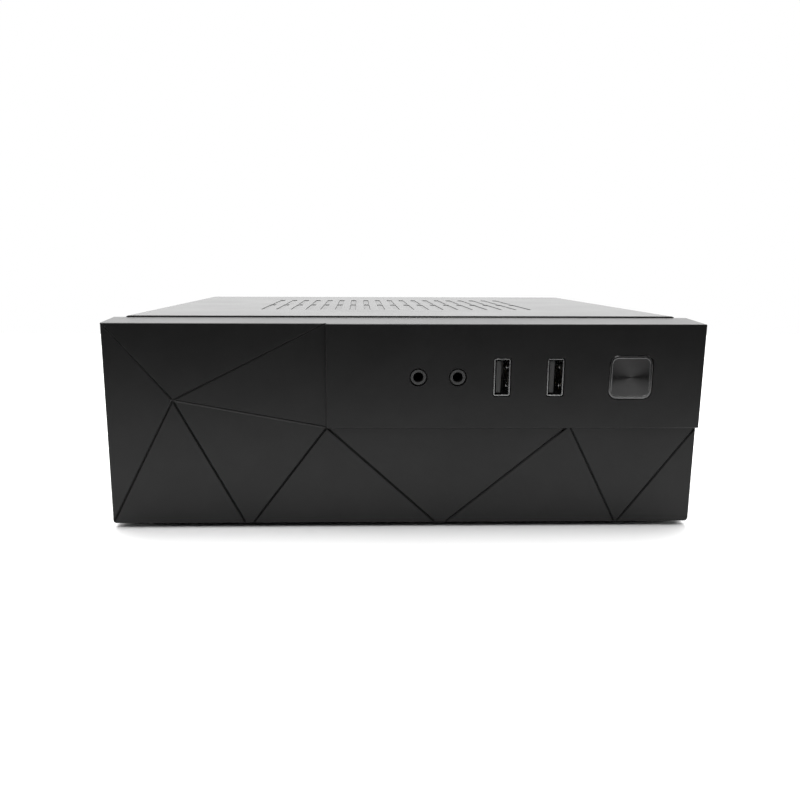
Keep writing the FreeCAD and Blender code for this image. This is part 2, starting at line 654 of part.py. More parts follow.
def groove(name, start, end, both=False):
    """A V-shaped bar along a line on the bezel's front plane, to be cut away.

    It runs past its end, and past its start too where both lie on the bezel's outline.
    """
    bar = doc.addObject("Part::Wedge", name)
    run_x = f"(({end[0]}) - ({start[0]}))"
    run_z = f"(({end[1]}) - ({start[1]}))"
    length = f"hypot({run_x}; {run_z})"
    before = "groove_w" if both else "0"
    for key in ("Ymin", "Zmin", "Z2min", "X2min", "X2max"):
        setattr(bar, key, 0)
    # half of the bar lies in front of the plane, so it is twice as wide and deep as the groove
    bar.setExpression("Xmin", bind("-groove_w"))
    bar.setExpression("Xmax", bind("groove_w"))
    bar.setExpression("Ymax", bind("groove_deep * 2"))
    for key in ("Zmax", "Z2max"):
        bar.setExpression(key, bind(f"{length} + groove_w + {before}"))
    bar.Placement = Placement(Vector(), Rotation(Vector(0, 1, 0), 10))
    bar.setExpression("Placement.Rotation.Angle", bind(f"atan2({run_x}; {run_z})"))
    return place(bar, f"{start[0]} - {before} * {run_x} / {length}", "face - groove_deep",
                 f"{start[1]} - {before} * {run_z} / {length}")


def bezel_grooves():
    left, right = "-bezel_half", "bezel_half"
    star = ("-peak_x", "bezel_low + peak_z")
    knee = ("-block_left", "block_low")
    lines = [
        (star, (left, "bezel_top")),
        (star, ("-block_left", "bezel_top")),
        (knee, star),
        (star, ("-foot_a_x", "bezel_low")),
        (star, (left, "bezel_low")),
        (knee, ("-foot_b_x", "bezel_low")),
        (knee, ("foot_c_x", "bezel_low")),
        (("top_a_x", "block_low"), ("foot_d_x", "bezel_low")),
        (("top_b_x", "block_low"), ("foot_e_x", "bezel_low")),
        ((right, "block_low"), ("foot_f_x", "bezel_low"), True),
    ]
    return [groove(f"groove_{index}", *line) for index, line in enumerate(lines)]


def bezel_shell():
    body = new_body("bezel_shell", y="face")
    outline = new_sketch(body, "XZ_Plane")
    draw_rectangle(outline, ("-bezel_half", "bezel_half"), ("bezel_low", "bezel_top + top_rise + corner"), "corner")
    feature(body, "Pad", outline, "bezel_deep", reverse=True)
    above = new_sketch(body, "YZ_Plane", "bezel_half + through")
    high = "bezel_top + top_rise + corner + through"
    draw_outline(above, [("-through", "bezel_top - through * top_slope"),
                         ("bezel_deep + through", "bezel_top + top_rise + through * top_slope"),
                         ("bezel_deep + through", high), ("-through", high)])
    feature(body, "Pocket", above, "2 * bezel_half + 2 * through")
    round_front(body, "0")

    block = new_sketch(body, "XZ_Plane", "-edge - weld")
    draw_rectangle(block, ("-block_left", "bezel_half"), ("block_low", "bezel_top"), "edge")
    feature(body, "Pad", block, "block_rise + edge + weld")
    round_front(body, "-block_rise")

    cavity = new_sketch(body, "XZ_Plane", "-wall")
    draw_rectangle(cavity, ("-bezel_half + wall", "bezel_half - wall"),
                   ("bezel_low + wall", "bezel_top - wall"))
    feature(body, "Pocket", cavity, "bezel_deep")

    room = new_sketch(body, "XZ_Plane", "block_rise - wall")
    draw_rectangle(room, ("-block_left + wall", "bezel_half - wall"),
                   ("block_low + wall", "bezel_top - wall"))
    feature(body, "Pocket", room, "block_rise + weld")

    holes = new_sketch(body, "XZ_Plane", "block_rise + through")
    for jack_x in ("jack_a_x", "jack_b_x"):
        draw_circle(holes, jack_x, "port_z", "jack_hole_r")
    for usb_x in ("usb_a_x", "usb_b_x"):
        draw_rectangle(holes, about(usb_x, "usb_w / 2 + usb_gap"), about("port_z", "usb_long / 2 + usb_gap"),
                       "usb_round + usb_gap")
    draw_rectangle(holes, about("button_x", "button_w / 2 + button_gap"),
                   about("port_z", "button_w / 2 + button_gap"), "button_round + button_gap")
    feature(body, "Pocket", holes, "wall + 2 * through")
    return body


def round_front(body, depth):
    """Rounds the edges of the body's flat face at this depth, measured from its own plane."""
    solid = body.Tip
    boxes = [face.BoundBox for face in solid.Shape.Faces]
    flat = [index for index, box_of in enumerate(boxes, start=1)
            if max(abs(box_of.YMin - number(depth)), abs(box_of.YMax - number(depth))) < 1e-4]
    fillet = body.newObject("PartDesign::Fillet", body.Name + "_round")
    fillet.Base = (solid, [f"Face{index}" for index in flat])
    fillet.setExpression("Radius", bind("edge"))
    doc.recompute()


def bezel_fittings():
    """Screw bosses, the button's guide and the four snap hooks."""
    fittings = []
    for boss_x, boss_z in front_screw_places():
        blank = rod("boss", "y", boss_x, "block_in - weld", boss_z, "boss_r", "io_front - block_in + weld")
        pilot = rod("pilot", "y", boss_x, "io_front - small_screw_long", boss_z, "small_screw_r",
                    "small_screw_long + through")
        fittings.append(cut("boss_bored", blank, [pilot]))
    inner = "skirt_half + button_gap"
    outer = "skirt_half + button_gap + skirt_wall"
    guide = [box("guide", about("button_x", half), ("block_in - weld", "skirt_end"), about("port_z", half))
             for half in (outer, inner)]
    fittings.append(cut("guide_open", *guide[:1], guide[1:]))
    for x in ("-hook_x", "hook_x"):
        fittings.append(snap_hook(x, "bezel_top - wall", -1))
        fittings.append(snap_hook(x, "bezel_low + wall", 1))
    return fittings


def snap_hook(x, wall_z, way):
    """An arm inside the bezel's wall that reaches through the tray and catches behind it."""
    arm_z = (f"{wall_z} - {way} * weld", f"{wall_z} + {way} * hook_thick")
    barb_z = (arm_z[1], f"{wall_z} + {way} * (hook_thick + hook_barb)")
    if way < 0:
        arm_z, barb_z = arm_z[::-1], barb_z[::-1]
    end = "front_in + hook_long"
    arm = box("hook_arm", about(x, "hook_w / 2"), ("face + wall - weld", end), arm_z)
    # behind the bezel's own back edge the arm is free, so it keeps off the cover by its own thickness
    free = box("hook_free", about(x, "hook_w"), ("wall_front", "front_in + hook_long + through"),
               (wall_z, f"{wall_z} + weld") if way < 0 else (f"{wall_z} - weld", wall_z))
    barb = box("hook_barb", about(x, "hook_w / 2"), ("front_in + screw_gap", end), barb_z)
    return joined("hook", [cut("hook_trimmed", arm, [free]), barb])


def front_bezel():
    solid = joined("bezel_whole", [bezel_shell(), *bezel_fittings()])
    node("front_bezel", cut("bezel_grooved", solid, bezel_grooves()))


# ---------------------------------------------------------------- power button

def power_button():
    def block(name, half, corner, y):
        return rounded_plate(name, about("button_x", half), about("port_z", half), corner, y)

    slab = block("button_slab", "button_w / 2", "button_round", ("button_face", "slab_end"))
    skirt = block("button_skirt", "skirt_half", "button_round + skirt_proud", ("skirt_face", "skirt_end"))
    room = block("button_room", "skirt_half - skirt_wall", "button_round",
                 ("slab_end", "skirt_end + through"))
    face = ("button_w / 2 - ring_w", "button_round - ring_w")
    seat = block("insert_seat", *face, ("block_face - through", "button_face + insert_thick"))
    shell = cut("button_shell", joined("button_blank", [slab, skirt]), [room, seat])
    stem = rod("button_stem", "y", "button_x", "slab_end - weld", "port_z", "stem_r",
               "plunger_face - slab_end + weld")
    node("power_button_cap", joined("button_cap", [shell, stem]))
    node("power_button_insert", block("button_insert", *face, ("button_face", "button_face + insert_thick")))
    node("switch_plunger", rod("plunger", "y", "button_x", "plunger_face", "port_z", "plunger_r",
                               "plunger_out + plunger_in"))
    blank = box("switch_blank", about("button_x", "switch_w / 2"), ("switch_face", "io_front"),
                about("port_z", "switch_w / 2"))
    well = rod("switch_well", "y", "button_x", "switch_face - through", "port_z", "plunger_r + plunger_gap",
               "through + plunger_in + button_travel + switch_spare")
    node("power_switch", cut("switch_body", blank, [well]))
    led_top = "port_z - switch_w / 2 - led_gap"
    node("power_led", box("led", about("button_x", "led_w / 2"), ("io_front - led_thick", "io_front"),
                          (f"{led_top} - led_tall", led_top)))


# ---------------------------------------------------------------- front board and sockets

def front_screw_places():
    return [(x, z) for x in ("io_left + boss_in", "io_right - boss_in")
            for z in ("io_bottom + boss_in", "io_top - boss_in")]


def front_board():
    plate = box("front_board_blank", ("io_left", "io_right"), ("io_front", "io_back"),
                ("io_bottom", "io_top"))
    holes = [rod("board_hole", "y", x, "io_front - through", z, "small_screw_r + small_screw_gap",
                 "pcb + 2 * through") for x, z in front_screw_places()]
    screws = [pan_screw("front_screw", "y", x, "io_back", z, "small_screw_r", "small_screw_long")
              for x, z in front_screw_places()]
    node("front_io_board", cut("front_board", plate, holes))
    node("front_board_screws", group("front_screws", screws))


def front_usb(side, x):
    inside_x = about(x, "usb_w / 2 - usb_wall")
    inside_z = about("port_z", "usb_long / 2 - usb_wall")
    shell = rounded_plate("usb_outside", about(x, "usb_w / 2"), about("port_z", "usb_long / 2"), "usb_round",
                          ("socket_mouth", "io_front"))
    hollow = rounded_plate("usb_inside", inside_x, inside_z, "usb_round - usb_wall",
                           ("socket_mouth - through", "io_front + through"))
    windows = [box("usb_window", about(x, "usb_w"),
                   (f"socket_mouth + usb_deep * {SPRING_START}", f"socket_mouth + usb_deep * {SPRING_END}"),
                   about(f"port_z + {way} * usb_long / 4", "usb_window / 2")) for way in (-1, 1)]
    node(f"front_usb_shell_{side}", cut("usb_shell", shell, [hollow, *windows]))
    root = rounded_plate("usb_root", inside_x, inside_z, "usb_round - usb_wall",
                         ("io_front - usb_root", "io_front"))
    blade = (f"{inside_x[0]} + usb_tongue_in", f"{inside_x[0]} + usb_tongue_in + usb_tongue")
    tongue = box("usb_blade", blade, ("socket_mouth + usb_tongue_back", "io_front - usb_root + weld"),
                 about("port_z", "usb_long / 2 - usb_wall - usb_tongue_in"))
    node(f"front_usb_tongue_{side}", joined("usb_insert", [root, tongue]))


def front_jack(name, x):
    nose = rod("jack_nose", "y", x, "socket_mouth", "port_z", "jack_nose_r",
               "block_in + jack_gap + weld - socket_mouth")
    housing = box("jack_housing", about(x, "jack_body / 2"), ("block_in + jack_gap", "io_front"),
                  about("port_z", "jack_rise / 2"))
    bore = rod("jack_bore_hole", "y", x, "socket_mouth - through", "port_z", "jack_r", "jack_bore + through")
    node(name, cut(name + "_bored", joined(name + "_blank", [nose, housing]), [bore]))


def front_plugs():
    plugs = [box("front_plug", about(x, half), ("io_back", "io_back + header_tall"),
                 about("lead_z", "header_thick / 2")) for x, half in plug_places()]
    node("front_plugs", group("front_plug_set", plugs))


def plug_places():
    """The plugs that join the front board to the main board: their places across and half-widths."""
    return [("usb_plug_x", "header_w / 2"), ("audio_plug_x", "header_w / 2"),
            ("switch_plug_x", "header_w / 4")]


# ---------------------------------------------------------------- tray and cover

def cover_screw_places():
    return [(x, z) for x in ("-flange_x", "flange_x") for z in ("screw_low", "screw_high")]


def bracket_screw_places():
    return [f"drive_x + {way} * (bracket_half - bracket_screw_in)" for way in (-1, 1)]


def through_wall(name, x, wall, z, radius):
    """A round cut along Y through a wall of sheet that starts at this depth."""
    return rod(name, "y", x, f"{wall} - through", z, radius, "sheet + 2 * through")


def chassis():
    side = ("-tray_half", "tray_half")
    length = ("wall_front", "rear_out")
    panels = [
        box("tray_floor", side, length, ("foot_tall", "floor_top")),
        box("tray_front", side, ("wall_front", "front_in"), ("foot_tall", "tray_top")),
        box("tray_rear", side, ("rear_in", "rear_out"), ("foot_tall", "tray_top")),
        box("tray_front_lip", side, ("wall_front", "wall_front + lip"), ("lip_low", "tray_top")),
        box("tray_rear_lip", side, ("rear_out - lip", "rear_out"), ("lip_low", "tray_top")),
        box("tray_left_lip", ("-tray_half", "-tray_in"), length, ("foot_tall", "foot_tall + lip")),
        box("tray_right_lip", ("tray_in", "tray_half"), length, ("foot_tall", "foot_tall + lip")),
    ]
    front_cut = ("wall_front - through", "front_in + through")
    rear_cut = ("rear_in - through", "rear_out + through")
    floor_cut = ("foot_tall - through", "floor_top + through")
    openings = [
        box("front_window", ("io_left - window_past", "io_right + window_past"), front_cut,
            ("io_bottom - window_past", "io_top + window_past")),
        box("rear_opening", about("0", "io_w / 2"), rear_cut, ("opening_low", "opening_top")),
        through_wall("inlet_hole", "inlet_x", "rear_in", "inlet_z", "inlet_r + screw_gap"),
    ]
    hook_reach = "hook_thick + hook_barb + free_gap"
    for x in ("-hook_x", "hook_x"):
        for z in ((f"bezel_top - wall - ({hook_reach})", "bezel_top - wall + free_gap"),
                  ("bezel_low + wall - free_gap", f"bezel_low + wall + {hook_reach}")):
            openings.append(box("hook_slot", about(x, "hook_w / 2 + free_gap"), front_cut, z))
    for x, z in cover_screw_places():
        openings.append(through_wall("cover_screw_hole", x, "rear_in", z, "screw_r + screw_gap"))
    for x in bracket_screw_places():
        for wall in ("wall_front", "rear_in"):
            openings.append(through_wall("bracket_hole", x, wall, "bracket_screw_z", "screw_r + screw_gap"))
    for x in ("-bottom_bolts / 2", "bottom_bolts / 2"):
        for y in ("case_mid - bottom_bolts / 2", "case_mid + bottom_bolts / 2"):
            openings.append(rod("bolt_hole", "z", x, y, floor_cut[0], "bottom_bolt_r", "sheet + 2 * through"))
    for column in range(REAR_VENTS):
        for line in (0, 1):
            x = f"-rear_vent_start + ({column} + {line} / 2) * rear_vent_pitch"
            z = f"opening_top + rear_vent_up + {line} * rear_vent_pitch * {ROW_SHARE}"
            openings.append(through_wall("rear_vent", x, "rear_in", z, "rear_vent_r"))
    for column in range(FLOOR_VENTS):
        openings.append(box("floor_vent",
                            about(f"{column - FLOOR_VENTS // 2} * floor_vent_pitch", "floor_vent_w / 2"),
                            about("case_mid", "floor_vent_long / 2"), floor_cut))
    node("chassis", cut("tray", joined("tray_panels", panels), openings))


def top_cover():
    body = new_body("cover")
    outline = new_sketch(body, "XZ_Plane", "-cover_front")
    draw_rectangle(outline, about("0", "cover_half"), ("cover_low", "cover_top"), "bend")
    draw_rectangle(outline, about("0", "cover_half - sheet"), ("cover_low + sheet", "cover_top - sheet"),
                   "bend - sheet")
    feature(body, "Pad", outline, "cover_back - cover_front", reverse=True)

    flange = new_sketch(body, "XZ_Plane", "-cover_back")
    draw_rectangle(flange, about("0", "cover_half"), ("cover_low", "cover_top"), "bend")
    for x, z in cover_screw_places():
        draw_circle(flange, x, z, "screw_r + screw_gap")
    feature(body, "Pad", flange, "sheet")

    doorway = new_sketch(body, "XZ_Plane", "-cover_back - through")
    draw_rectangle(doorway, about("0", "cover_half - flange_w"),
                   ("cover_low - through", "cover_top - flange_top"))
    feature(body, "Pocket", doorway, "sheet + 2 * through", reverse=True)

    underside = new_sketch(body, "XZ_Plane", "-cover_front + through")
    draw_rectangle(underside, about("0", "cover_half - hem_w"),
                   ("cover_low - through", "cover_low + sheet + weld"))
    feature(body, "Pocket", underside, "cover_back - cover_front + 2 * through")

    for line in (0, 1):
        slot = new_sketch(body, "XY_Plane", "cover_top + through")
        start = f"face + vent_start + {line} * vent_row"
        draw_rectangle(slot, about(f"-vent_pitch * {TOP_SLOTS // 2}", "vent_w / 2"),
                       (start, f"{start} + vent_long"), f"vent_w * {SLOT_END}")
        repeat(body, feature(body, "Pocket", slot, "sheet + 2 * through"), slot, TOP_SLOTS, "vent_pitch")

    side = new_sketch(body, "YZ_Plane", "cover_half + through")
    draw_rectangle(side, ("face + vent_start", "face + vent_start + vent_w"),
                   about("(cover_low + cover_top) / 2", "side_vent_long / 2"), f"vent_w * {SLOT_END}")
    through_both = feature(body, "Pocket", side, "2 * cover_half + 2 * through")
    repeat(body, through_both, side, SIDE_SLOTS, "vent_pitch")
    node("top_cover", body)
    node("cover_screws", group("cover_screw_set", [
        pan_screw("cover_screw", "y", x, "cover_back", z, "screw_r", "cover_screw_long")
        for x, z in cover_screw_places()]))


def rubber_feet():
    feet = []
    for x in ("-foot_x", "foot_x"):
        for y in ("foot_front", "foot_back"):
            foot = doc.addObject("Part::Cone", "foot")
            foot.setExpression("Radius1", bind("foot_r - foot_taper"))
            foot.setExpression("Radius2", bind("foot_r"))
            foot.setExpression("Height", bind("foot_tall"))
            feet.append(place(foot, x, y, "0"))
    node("rubber_feet", group("feet", feet))


# ---------------------------------------------------------------- main board

def board_screw_places():
    return [(x, y) for x in ("-hole_x / 2", "hole_x / 2") for y in ("hole_front", "hole_rear")]


def cooler_screw_places():
    return [(x, y) for x in about("cooler_x", "cooler_hole / 2")
            for y in about("cooler_y", "cooler_hole / 2")]


def motherboard():
    plate = box("board_blank", about("0", "board_half"), ("board_front", "board_back"),
                ("board_low", "board_top"))
    holes = [rod("board_hole", "z", x, y, "board_low - through", "screw_r + free_gap", "pcb + 2 * through")
             for x, y in board_screw_places() + cooler_screw_places()]
    node("motherboard", cut("board", plate, holes))
    posts = [cut("standoff_bored", rod("standoff_blank", "z", x, y, "floor_top", "standoff_r", "standoff"),
                 [rod("standoff_bore", "z", x, y, "floor_top + sheet", "screw_r", "standoff")])
             for x, y in board_screw_places()]
    node("board_standoffs", group("standoffs", posts))
    node("board_screws", group("board_screw_set", [
        pan_screw("board_screw", "z", x, y, "board_top", "screw_r", "cover_screw_long")
        for x, y in board_screw_places()]))


def processor():
    def block(name, margin, z):
        return square(name, "cooler_x", "cooler_y", f"cpu_w / 2 - ({margin})", z)

    frame = block("socket_blank", "0", ("board_top", "board_top + cpu_frame_tall"))
    well = block("socket_well", "cpu_frame", ("board_top + cpu_seat", "board_top + cpu_frame_tall + through"))
    node("cpu_socket", cut("socket", frame, [well]))
    plate = block("chip", "cpu_frame + screw_gap",
                  ("board_top + cpu_seat", "board_top + cpu_seat + cpu_plate"))
    lid = block("chip_lid", "cpu_frame + cpu_lid_in",
                ("board_top + cpu_seat + cpu_plate - weld", "heatsink_low"))
    node("processor", joined("processor_chip", [plate, lid]))


def cooler_rod(name, low, radius, tall):
    """A bar on the cooler's own axis."""
    return rod(name, "z", "cooler_x", "cooler_y", low, radius, tall)


def heatsink():
    base = square("heatsink_base", "cooler_x", "cooler_y", "cooler_w / 2", ("heatsink_low", "fins_low"))
    fins = [box("heatsink_fin", about(f"cooler_x + {index - FINS // 2} * fin_pitch", "fin / 2"),
                about("cooler_y", "cooler_w / 2"), ("fins_low - weld", "fan_low")) for index in range(FINS)]
    wells = [rod("heatsink_well", "z", x, y, "heatsink_low - through", "lug_r - weld",
                 "fan_low - heatsink_low + 2 * through") for x, y in cooler_screw_places()]
    lugs = [cut("lug_bored", rod("lug", "z", x, y, "heatsink_low", "lug_r", "cooler_base"),
                [rod("lug_bore", "z", x, y, "heatsink_low - through", "screw_r + free_gap",
                     "cooler_base + 2 * through")]) for x, y in cooler_screw_places()]
    open_block = cut("heatsink_open", joined("heatsink_blank", [base, *fins]), wells)
    node("cooler_heatsink", joined("heatsink", [open_block, *lugs]))


def fan():
    frame = square("fan_blank", "cooler_x", "cooler_y", "cooler_w / 2", ("fan_low", "fan_top"))
    cuts = [cooler_rod("fan_opening", "fan_low - through", "fan_r", "fan_tall + 2 * through")]
    cuts += [rod("fan_corner", "z", x, y, "fan_low - through", "screw_r + free_gap", "fan_tall + 2 * through")
             for x, y in cooler_screw_places()]
    spoke = ("fan_low", "fan_low + spoke_thick")
    spokes = [box("fan_spoke", about("cooler_x", half_x), about("cooler_y", half_y), spoke)
              for half_x, half_y in (("fan_r + weld", "spoke_w / 2"), ("spoke_w / 2", "fan_r + weld"))]
    hub = cooler_rod("fan_stator", "fan_low", "hub_r", "spoke_thick")
    post = cooler_rod("fan_bearing", "fan_low", "bearing_r", "bearing_tall")
    bore = cooler_rod("bearing_bore", "fan_low + sheet", "shaft_r + shaft_gap", "fan_tall")
    whole = joined("fan_whole", [cut("fan_ring", frame, cuts), *spokes, hub, post])
    node("cooler_fan_frame", cut("fan_frame", whole, [bore]))

    cup_low = "fan_low + spoke_thick + cup_rise"
    cup = cut("cup_open", cooler_rod("cup", cup_low, "hub_r", f"fan_top - through - ({cup_low})"),
              [cooler_rod("cup_room", "fan_low", "hub_r - cup_wall", "fan_tall - through - cup_wall")])
    shaft = cooler_rod("fan_shaft", "fan_low + 2 * sheet", "shaft_r", "fan_tall - through - 3 * sheet")
    blades = [fan_blade(360 * index / FAN_BLADES) for index in range(FAN_BLADES)]
    node("cooler_fan_rotor", joined("fan_rotor", [cup, shaft, *blades]))


def fan_blade(turn):
    """A flat blade, pitched about its own length, that runs out from the hub."""
    blade = doc.addObject("Part::Box", "fan_blade")
    for key, formula in (("Length", "blade_r - hub_r + cup_wall"), ("Width", "blade_w"),
                         ("Height", "blade_thick")):
        blade.setExpression(key, bind(formula))
    lean = Rotation(Vector(0, 0, 1), turn) * Rotation(Vector(1, 0, 0), BLADE_LEAN)
    # the blade's own corner lies half its width and thickness off its middle line
    out, across, up = (lean.multVec(Vector(*way)) for way in ((1, 0, 0), (0, -0.5, 0), (0, 0, -0.5)))
    corner = [f"({out[i]:.5f}) * (hub_r - cup_wall) + ({across[i]:.5f}) * blade_w"
              f" + ({up[i]:.5f}) * blade_thick" for i in range(3)]
    return place(blade, f"cooler_x + {corner[0]}", f"cooler_y + {corner[1]}",
                 f"fan_low + fan_tall / 2 + cup_rise + {corner[2]}", lean)


def cooler_fixings():
    low = "board_low - backplate_gap - backplate_thick"
    node("cooler_screws", group("cooler_screw_set", [
        pan_screw("cooler_screw", "z", x, y, "fan_top", "screw_r", f"fan_top - ({low}) - weld")
        for x, y in cooler_screw_places()]))
    plate = square("backplate_blank", "cooler_x", "cooler_y", "cooler_hole / 2 + backplate_edge",
                   (low, "board_low - backplate_gap"))
    window = square("backplate_window", "cooler_x", "cooler_y",
                    "cooler_hole / 2 + backplate_edge - backplate_bar", (f"{low} - through", "board_low"))
    threads = [rod("backplate_thread", "z", x, y, f"{low} - through", "screw_r",
                   "backplate_thick + 2 * through")
               for x, y in cooler_screw_places()]
    node("cooler_backplate", cut("backplate", plate, [window, *threads]))


def memory():
    for side, x in (("left", "memory_a_x"), ("right", "memory_b_x")):
        def block(name, half_x, half_y, z):
            return box(name, about(x, half_x), about("memory_y", half_y), z)

        blank = block("memory_socket_blank", "memory_socket_w / 2", "memory_long / 2 + memory_socket_end",
                      ("board_top", "board_top + memory_socket_tall"))
        slot = block("memory_slot", "memory_thick / 2 + memory_slot_gap", "memory_long / 2 + memory_slot_gap",
                     ("module_low", "board_top + memory_socket_tall + through"))
        low_part = block("memory_low_part", "memory_socket_w", "memory_long / 2 - memory_socket_end",
                         ("board_top + memory_slot_tall", "board_top + memory_socket_tall + through"))
        node(f"memory_socket_{side}", cut("memory_socket", blank, [slot, low_part]))
        card = block("module_board", "memory_thick / 2", "memory_long / 2",
                     ("module_low", "module_low + memory_tall"))
        chips = [box("memory_chip", about(x, "memory_thick / 2 + memory_chip_thick"),
                     about(f"memory_y + {step} * memory_long / 6", "memory_chip_w / 2"),
                     about("module_low + memory_tall / 2", f"memory_tall * {CHIP_SHARE} / 2"))
                 for step in MEMORY_CHIPS]
        node(f"memory_module_{side}", joined("memory_module", [card, *chips]))


def small_board_parts():
    coin = ("-coin_x", "board_front + coin_y")
    holder = rod("coin_ring", "z", *coin, "board_top", "coin_r + coin_wall", "coin_thick + through")
    room = rod("coin_room", "z", *coin, "board_top + through", "coin_r + weld", "coin_thick + through")
    node("coin_cell_holder", cut("coin_holder", holder, [room]))
    node("coin_cell", rod("coin", "z", *coin, "board_top + through", "coin_r", "coin_thick"))

    chipset = ("-chipset_x", "board_front + chipset_y")
    sink = [square("chipset_base", *chipset, "chipset_w / 2", ("board_top", "board_top + chipset_base"))]
    for index in range(CHIPSET_FINS):
        x = f"{chipset[0]} + {index - CHIPSET_FINS // 2} * chipset_pitch"
        sink.append(box("chipset_fin", about(x, "chipset_fin / 2"),
                        about(chipset[1], "chipset_w / 2"),
                        ("board_top + chipset_base - weld", "board_top + chipset_tall")))
    node("chipset_heatsink", joined("chipset_cooler", sink))

    node("power_coils", group("coils", [
        square("coil", f"-coil_x + {index} * coil_pitch", "board_back - coil_back", "coil_w / 2",
               ("board_top", "board_top + coil_tall")) for index in range(COILS)]))
    cans = [(f"-coil_x + coil_pitch * {column}", f"board_back - coil_back - can_pitch * {line}")
            for column, line in ((-1, 1), (-1, 2), (0, 2), (0, 3), (1, 3), (1, 4))]
    node("capacitors",
         group("cans", [rod("can", "z", x, y, "board_top", "can_r", "can_tall") for x, y in cans]))
    node("board_power_socket",
         square("power_socket", "power_socket_x", "power_socket_y", "power_socket_w / 2",
                                      ("board_top", "board_top + power_socket_tall")))
    plugs = [box("board_plug", about(x, half), about("plug_y", "header_thick / 2"), ("board_top", "plug_top"))
             for x, half in plug_places() + [("drive_socket_x", "header_w / 2")]]
    plugs.append(square("fan_plug", "fan_plug_x", "cooler_y", "header_thick / 2", ("board_top", "plug_top")))
    node("board_plugs", group("board_plug_set", plugs))


# ---------------------------------------------------------------- rear sockets

REAR = [
    # name, centre, width, height above the board, depth on the board
    ("analog_video_socket", -58, 31, 12.6, 12),
    ("digital_video_socket", -32, 15.2, 6.2, 12),
    ("rear_usb_stack_left", -12, 14.6, 15.8, 18),
    ("rear_usb_stack_right", 12, 14.6, 15.8, 18),
    ("rear_network_socket", 36, 16.2, 13.6, 21),
    ("rear_audio_socket", 62, 26.2, 13.2, 14),
]

# the square mouths of each rear socket: half-width, lower and upper edge above the board, and depth
USB_MOUTHS = [(6.25, 1.4, 4.1, 9), (6.25, 5.8, 6.5, 9), (6.25, 9.0, 11.7, 9), (6.25, 13.4, 14.1, 9)]
MOUTHS = {
    "rear_usb_stack_left": USB_MOUTHS,
    "rear_usb_stack_right": USB_MOUTHS,
    "rear_network_socket": [(5.9, 2.2, 10.4, 12), (3, 10.3, 12, 12)],
    "digital_video_socket": [(6.9, 1, 2.1, 9), (6.9, 3.6, 5.2, 9)],
}
# the fifteen pin holes of the analogue video socket
PIN_ROWS = (-1, 0, 1)
PIN_COLUMNS = range(-2, 3)


def rear_sockets():
    openings = []
    for name, x, width, tall, deep in REAR:
        top = f"board_top + {tall}"
        depth = (f"board_back - {deep}", "socket_face")
        if name == "rear_audio_socket":
            node(name, group("rear_jacks", rear_jacks(x, depth, tall)))
        else:
            blank = box(name + "_blank", about(x, width / 2), depth, ("board_top", top))
            node(name, cut(name + "_open", blank, rear_mouths(name, x, tall)))
        openings.append(box("shield_hole", about(x, f"{width / 2} + free_gap"),
                            ("rear_in - hem_w", "rear_out + through"),
                            ("board_top - free_gap", f"{top} + free_gap")))
    inner = ("opening_low + shield_gap", "opening_top - shield_gap")
    tray = box("shield_plate", about("0", "io_w / 2 - shield_gap"), ("rear_in - shield", "rear_out"), inner)
    dish = box("shield_dish", about("0", "io_w / 2 - shield_gap - shield"),
               ("rear_in - hem_w", "rear_out - shield"),
               (f"{inner[0]} + shield", f"{inner[1]} - shield"))
    rim = box("shield_rim", about("0", "io_w / 2 + shield_rim"), ("rear_in - shield", "rear_in"),
              ("opening_low - shield_rim", "opening_top + shield_rim"))
    node("io_shield", cut("shield_open", joined("shield_blank", [tray, rim]), [dish, *openings]))


def rear_jacks(x, depth, tall):
    """Three jacks side by side, each in a housing of its own."""
    jacks = []
    for index in (-1, 0, 1):
        middle = f"{x} + {index} * rear_jack_pitch"
        blank = box("rear_jack_blank", about(middle, "rear_jack_w / 2"), depth,
                    ("board_top", f"board_top + {tall}"))
        bore = rod("rear_jack_bore", "y", middle, "socket_face - jack_bore", f"board_top + {tall / 2}",
                   "jack_r", "jack_bore + through")
        jacks.append(cut("rear_jack", blank, [bore]))
    return jacks


def rear_mouths(name, x, tall):
    """The holes that a rear socket shows to the rear."""
    if name == "analog_video_socket":
        middle = f"board_top + {tall / 2}"
        return [rod("mouth", "y", f"{x} + {column} * pin_pitch + {line} * pin_pitch / 2",
                    "socket_face - pin_deep", f"{middle} + {line} * pin_row", "pin_r", "pin_deep + through")
                for line in PIN_ROWS for column in PIN_COLUMNS]
    return [box("mouth", about(x, half), (f"socket_face - {deep}", "socket_face + through"),
                (f"board_top + {low}", f"board_top + {high}")) for half, low, high, deep in MOUTHS[name]]


# ---------------------------------------------------------------- power inlet, drive and leads

def power_inlet():
    def bar(name, start, radius, end):
        return rod(name, "y", "inlet_x", start, "inlet_z", radius, f"{end} - ({start})")

    flange = bar("inlet_flange", "rear_out", "inlet_flange_r", "rear_out + inlet_flange")
    thread = bar("inlet_thread", "rear_out - inlet_long", "inlet_r", "rear_out + weld")
    bore = bar("inlet_bore", "rear_out - inlet_bore_long", "inlet_bore_r",
               "rear_out + inlet_flange + through")
    pin = bar("inlet_pin", "rear_out - inlet_bore_long - weld", "inlet_pin_r", "rear_out")
    node("dc_inlet",
         joined("inlet", [cut("inlet_bored", joined("inlet_blank", [flange, thread]), [bore]), pin]))
    nut = doc.addObject("Part::Prism", "nut_blank")
    nut.Polygon = 6
    nut.setExpression("Circumradius", bind("inlet_flange_r + nut_past"))
    nut.setExpression("Height", bind("nut_tall"))
    place(nut, "inlet_x", "rear_in - nut_tall", "inlet_z", TURNS["y"])
    node("dc_inlet_nut", cut("nut", nut, [bar("nut_hole", "rear_in - 2 * nut_tall", "inlet_r", "rear_out")]))


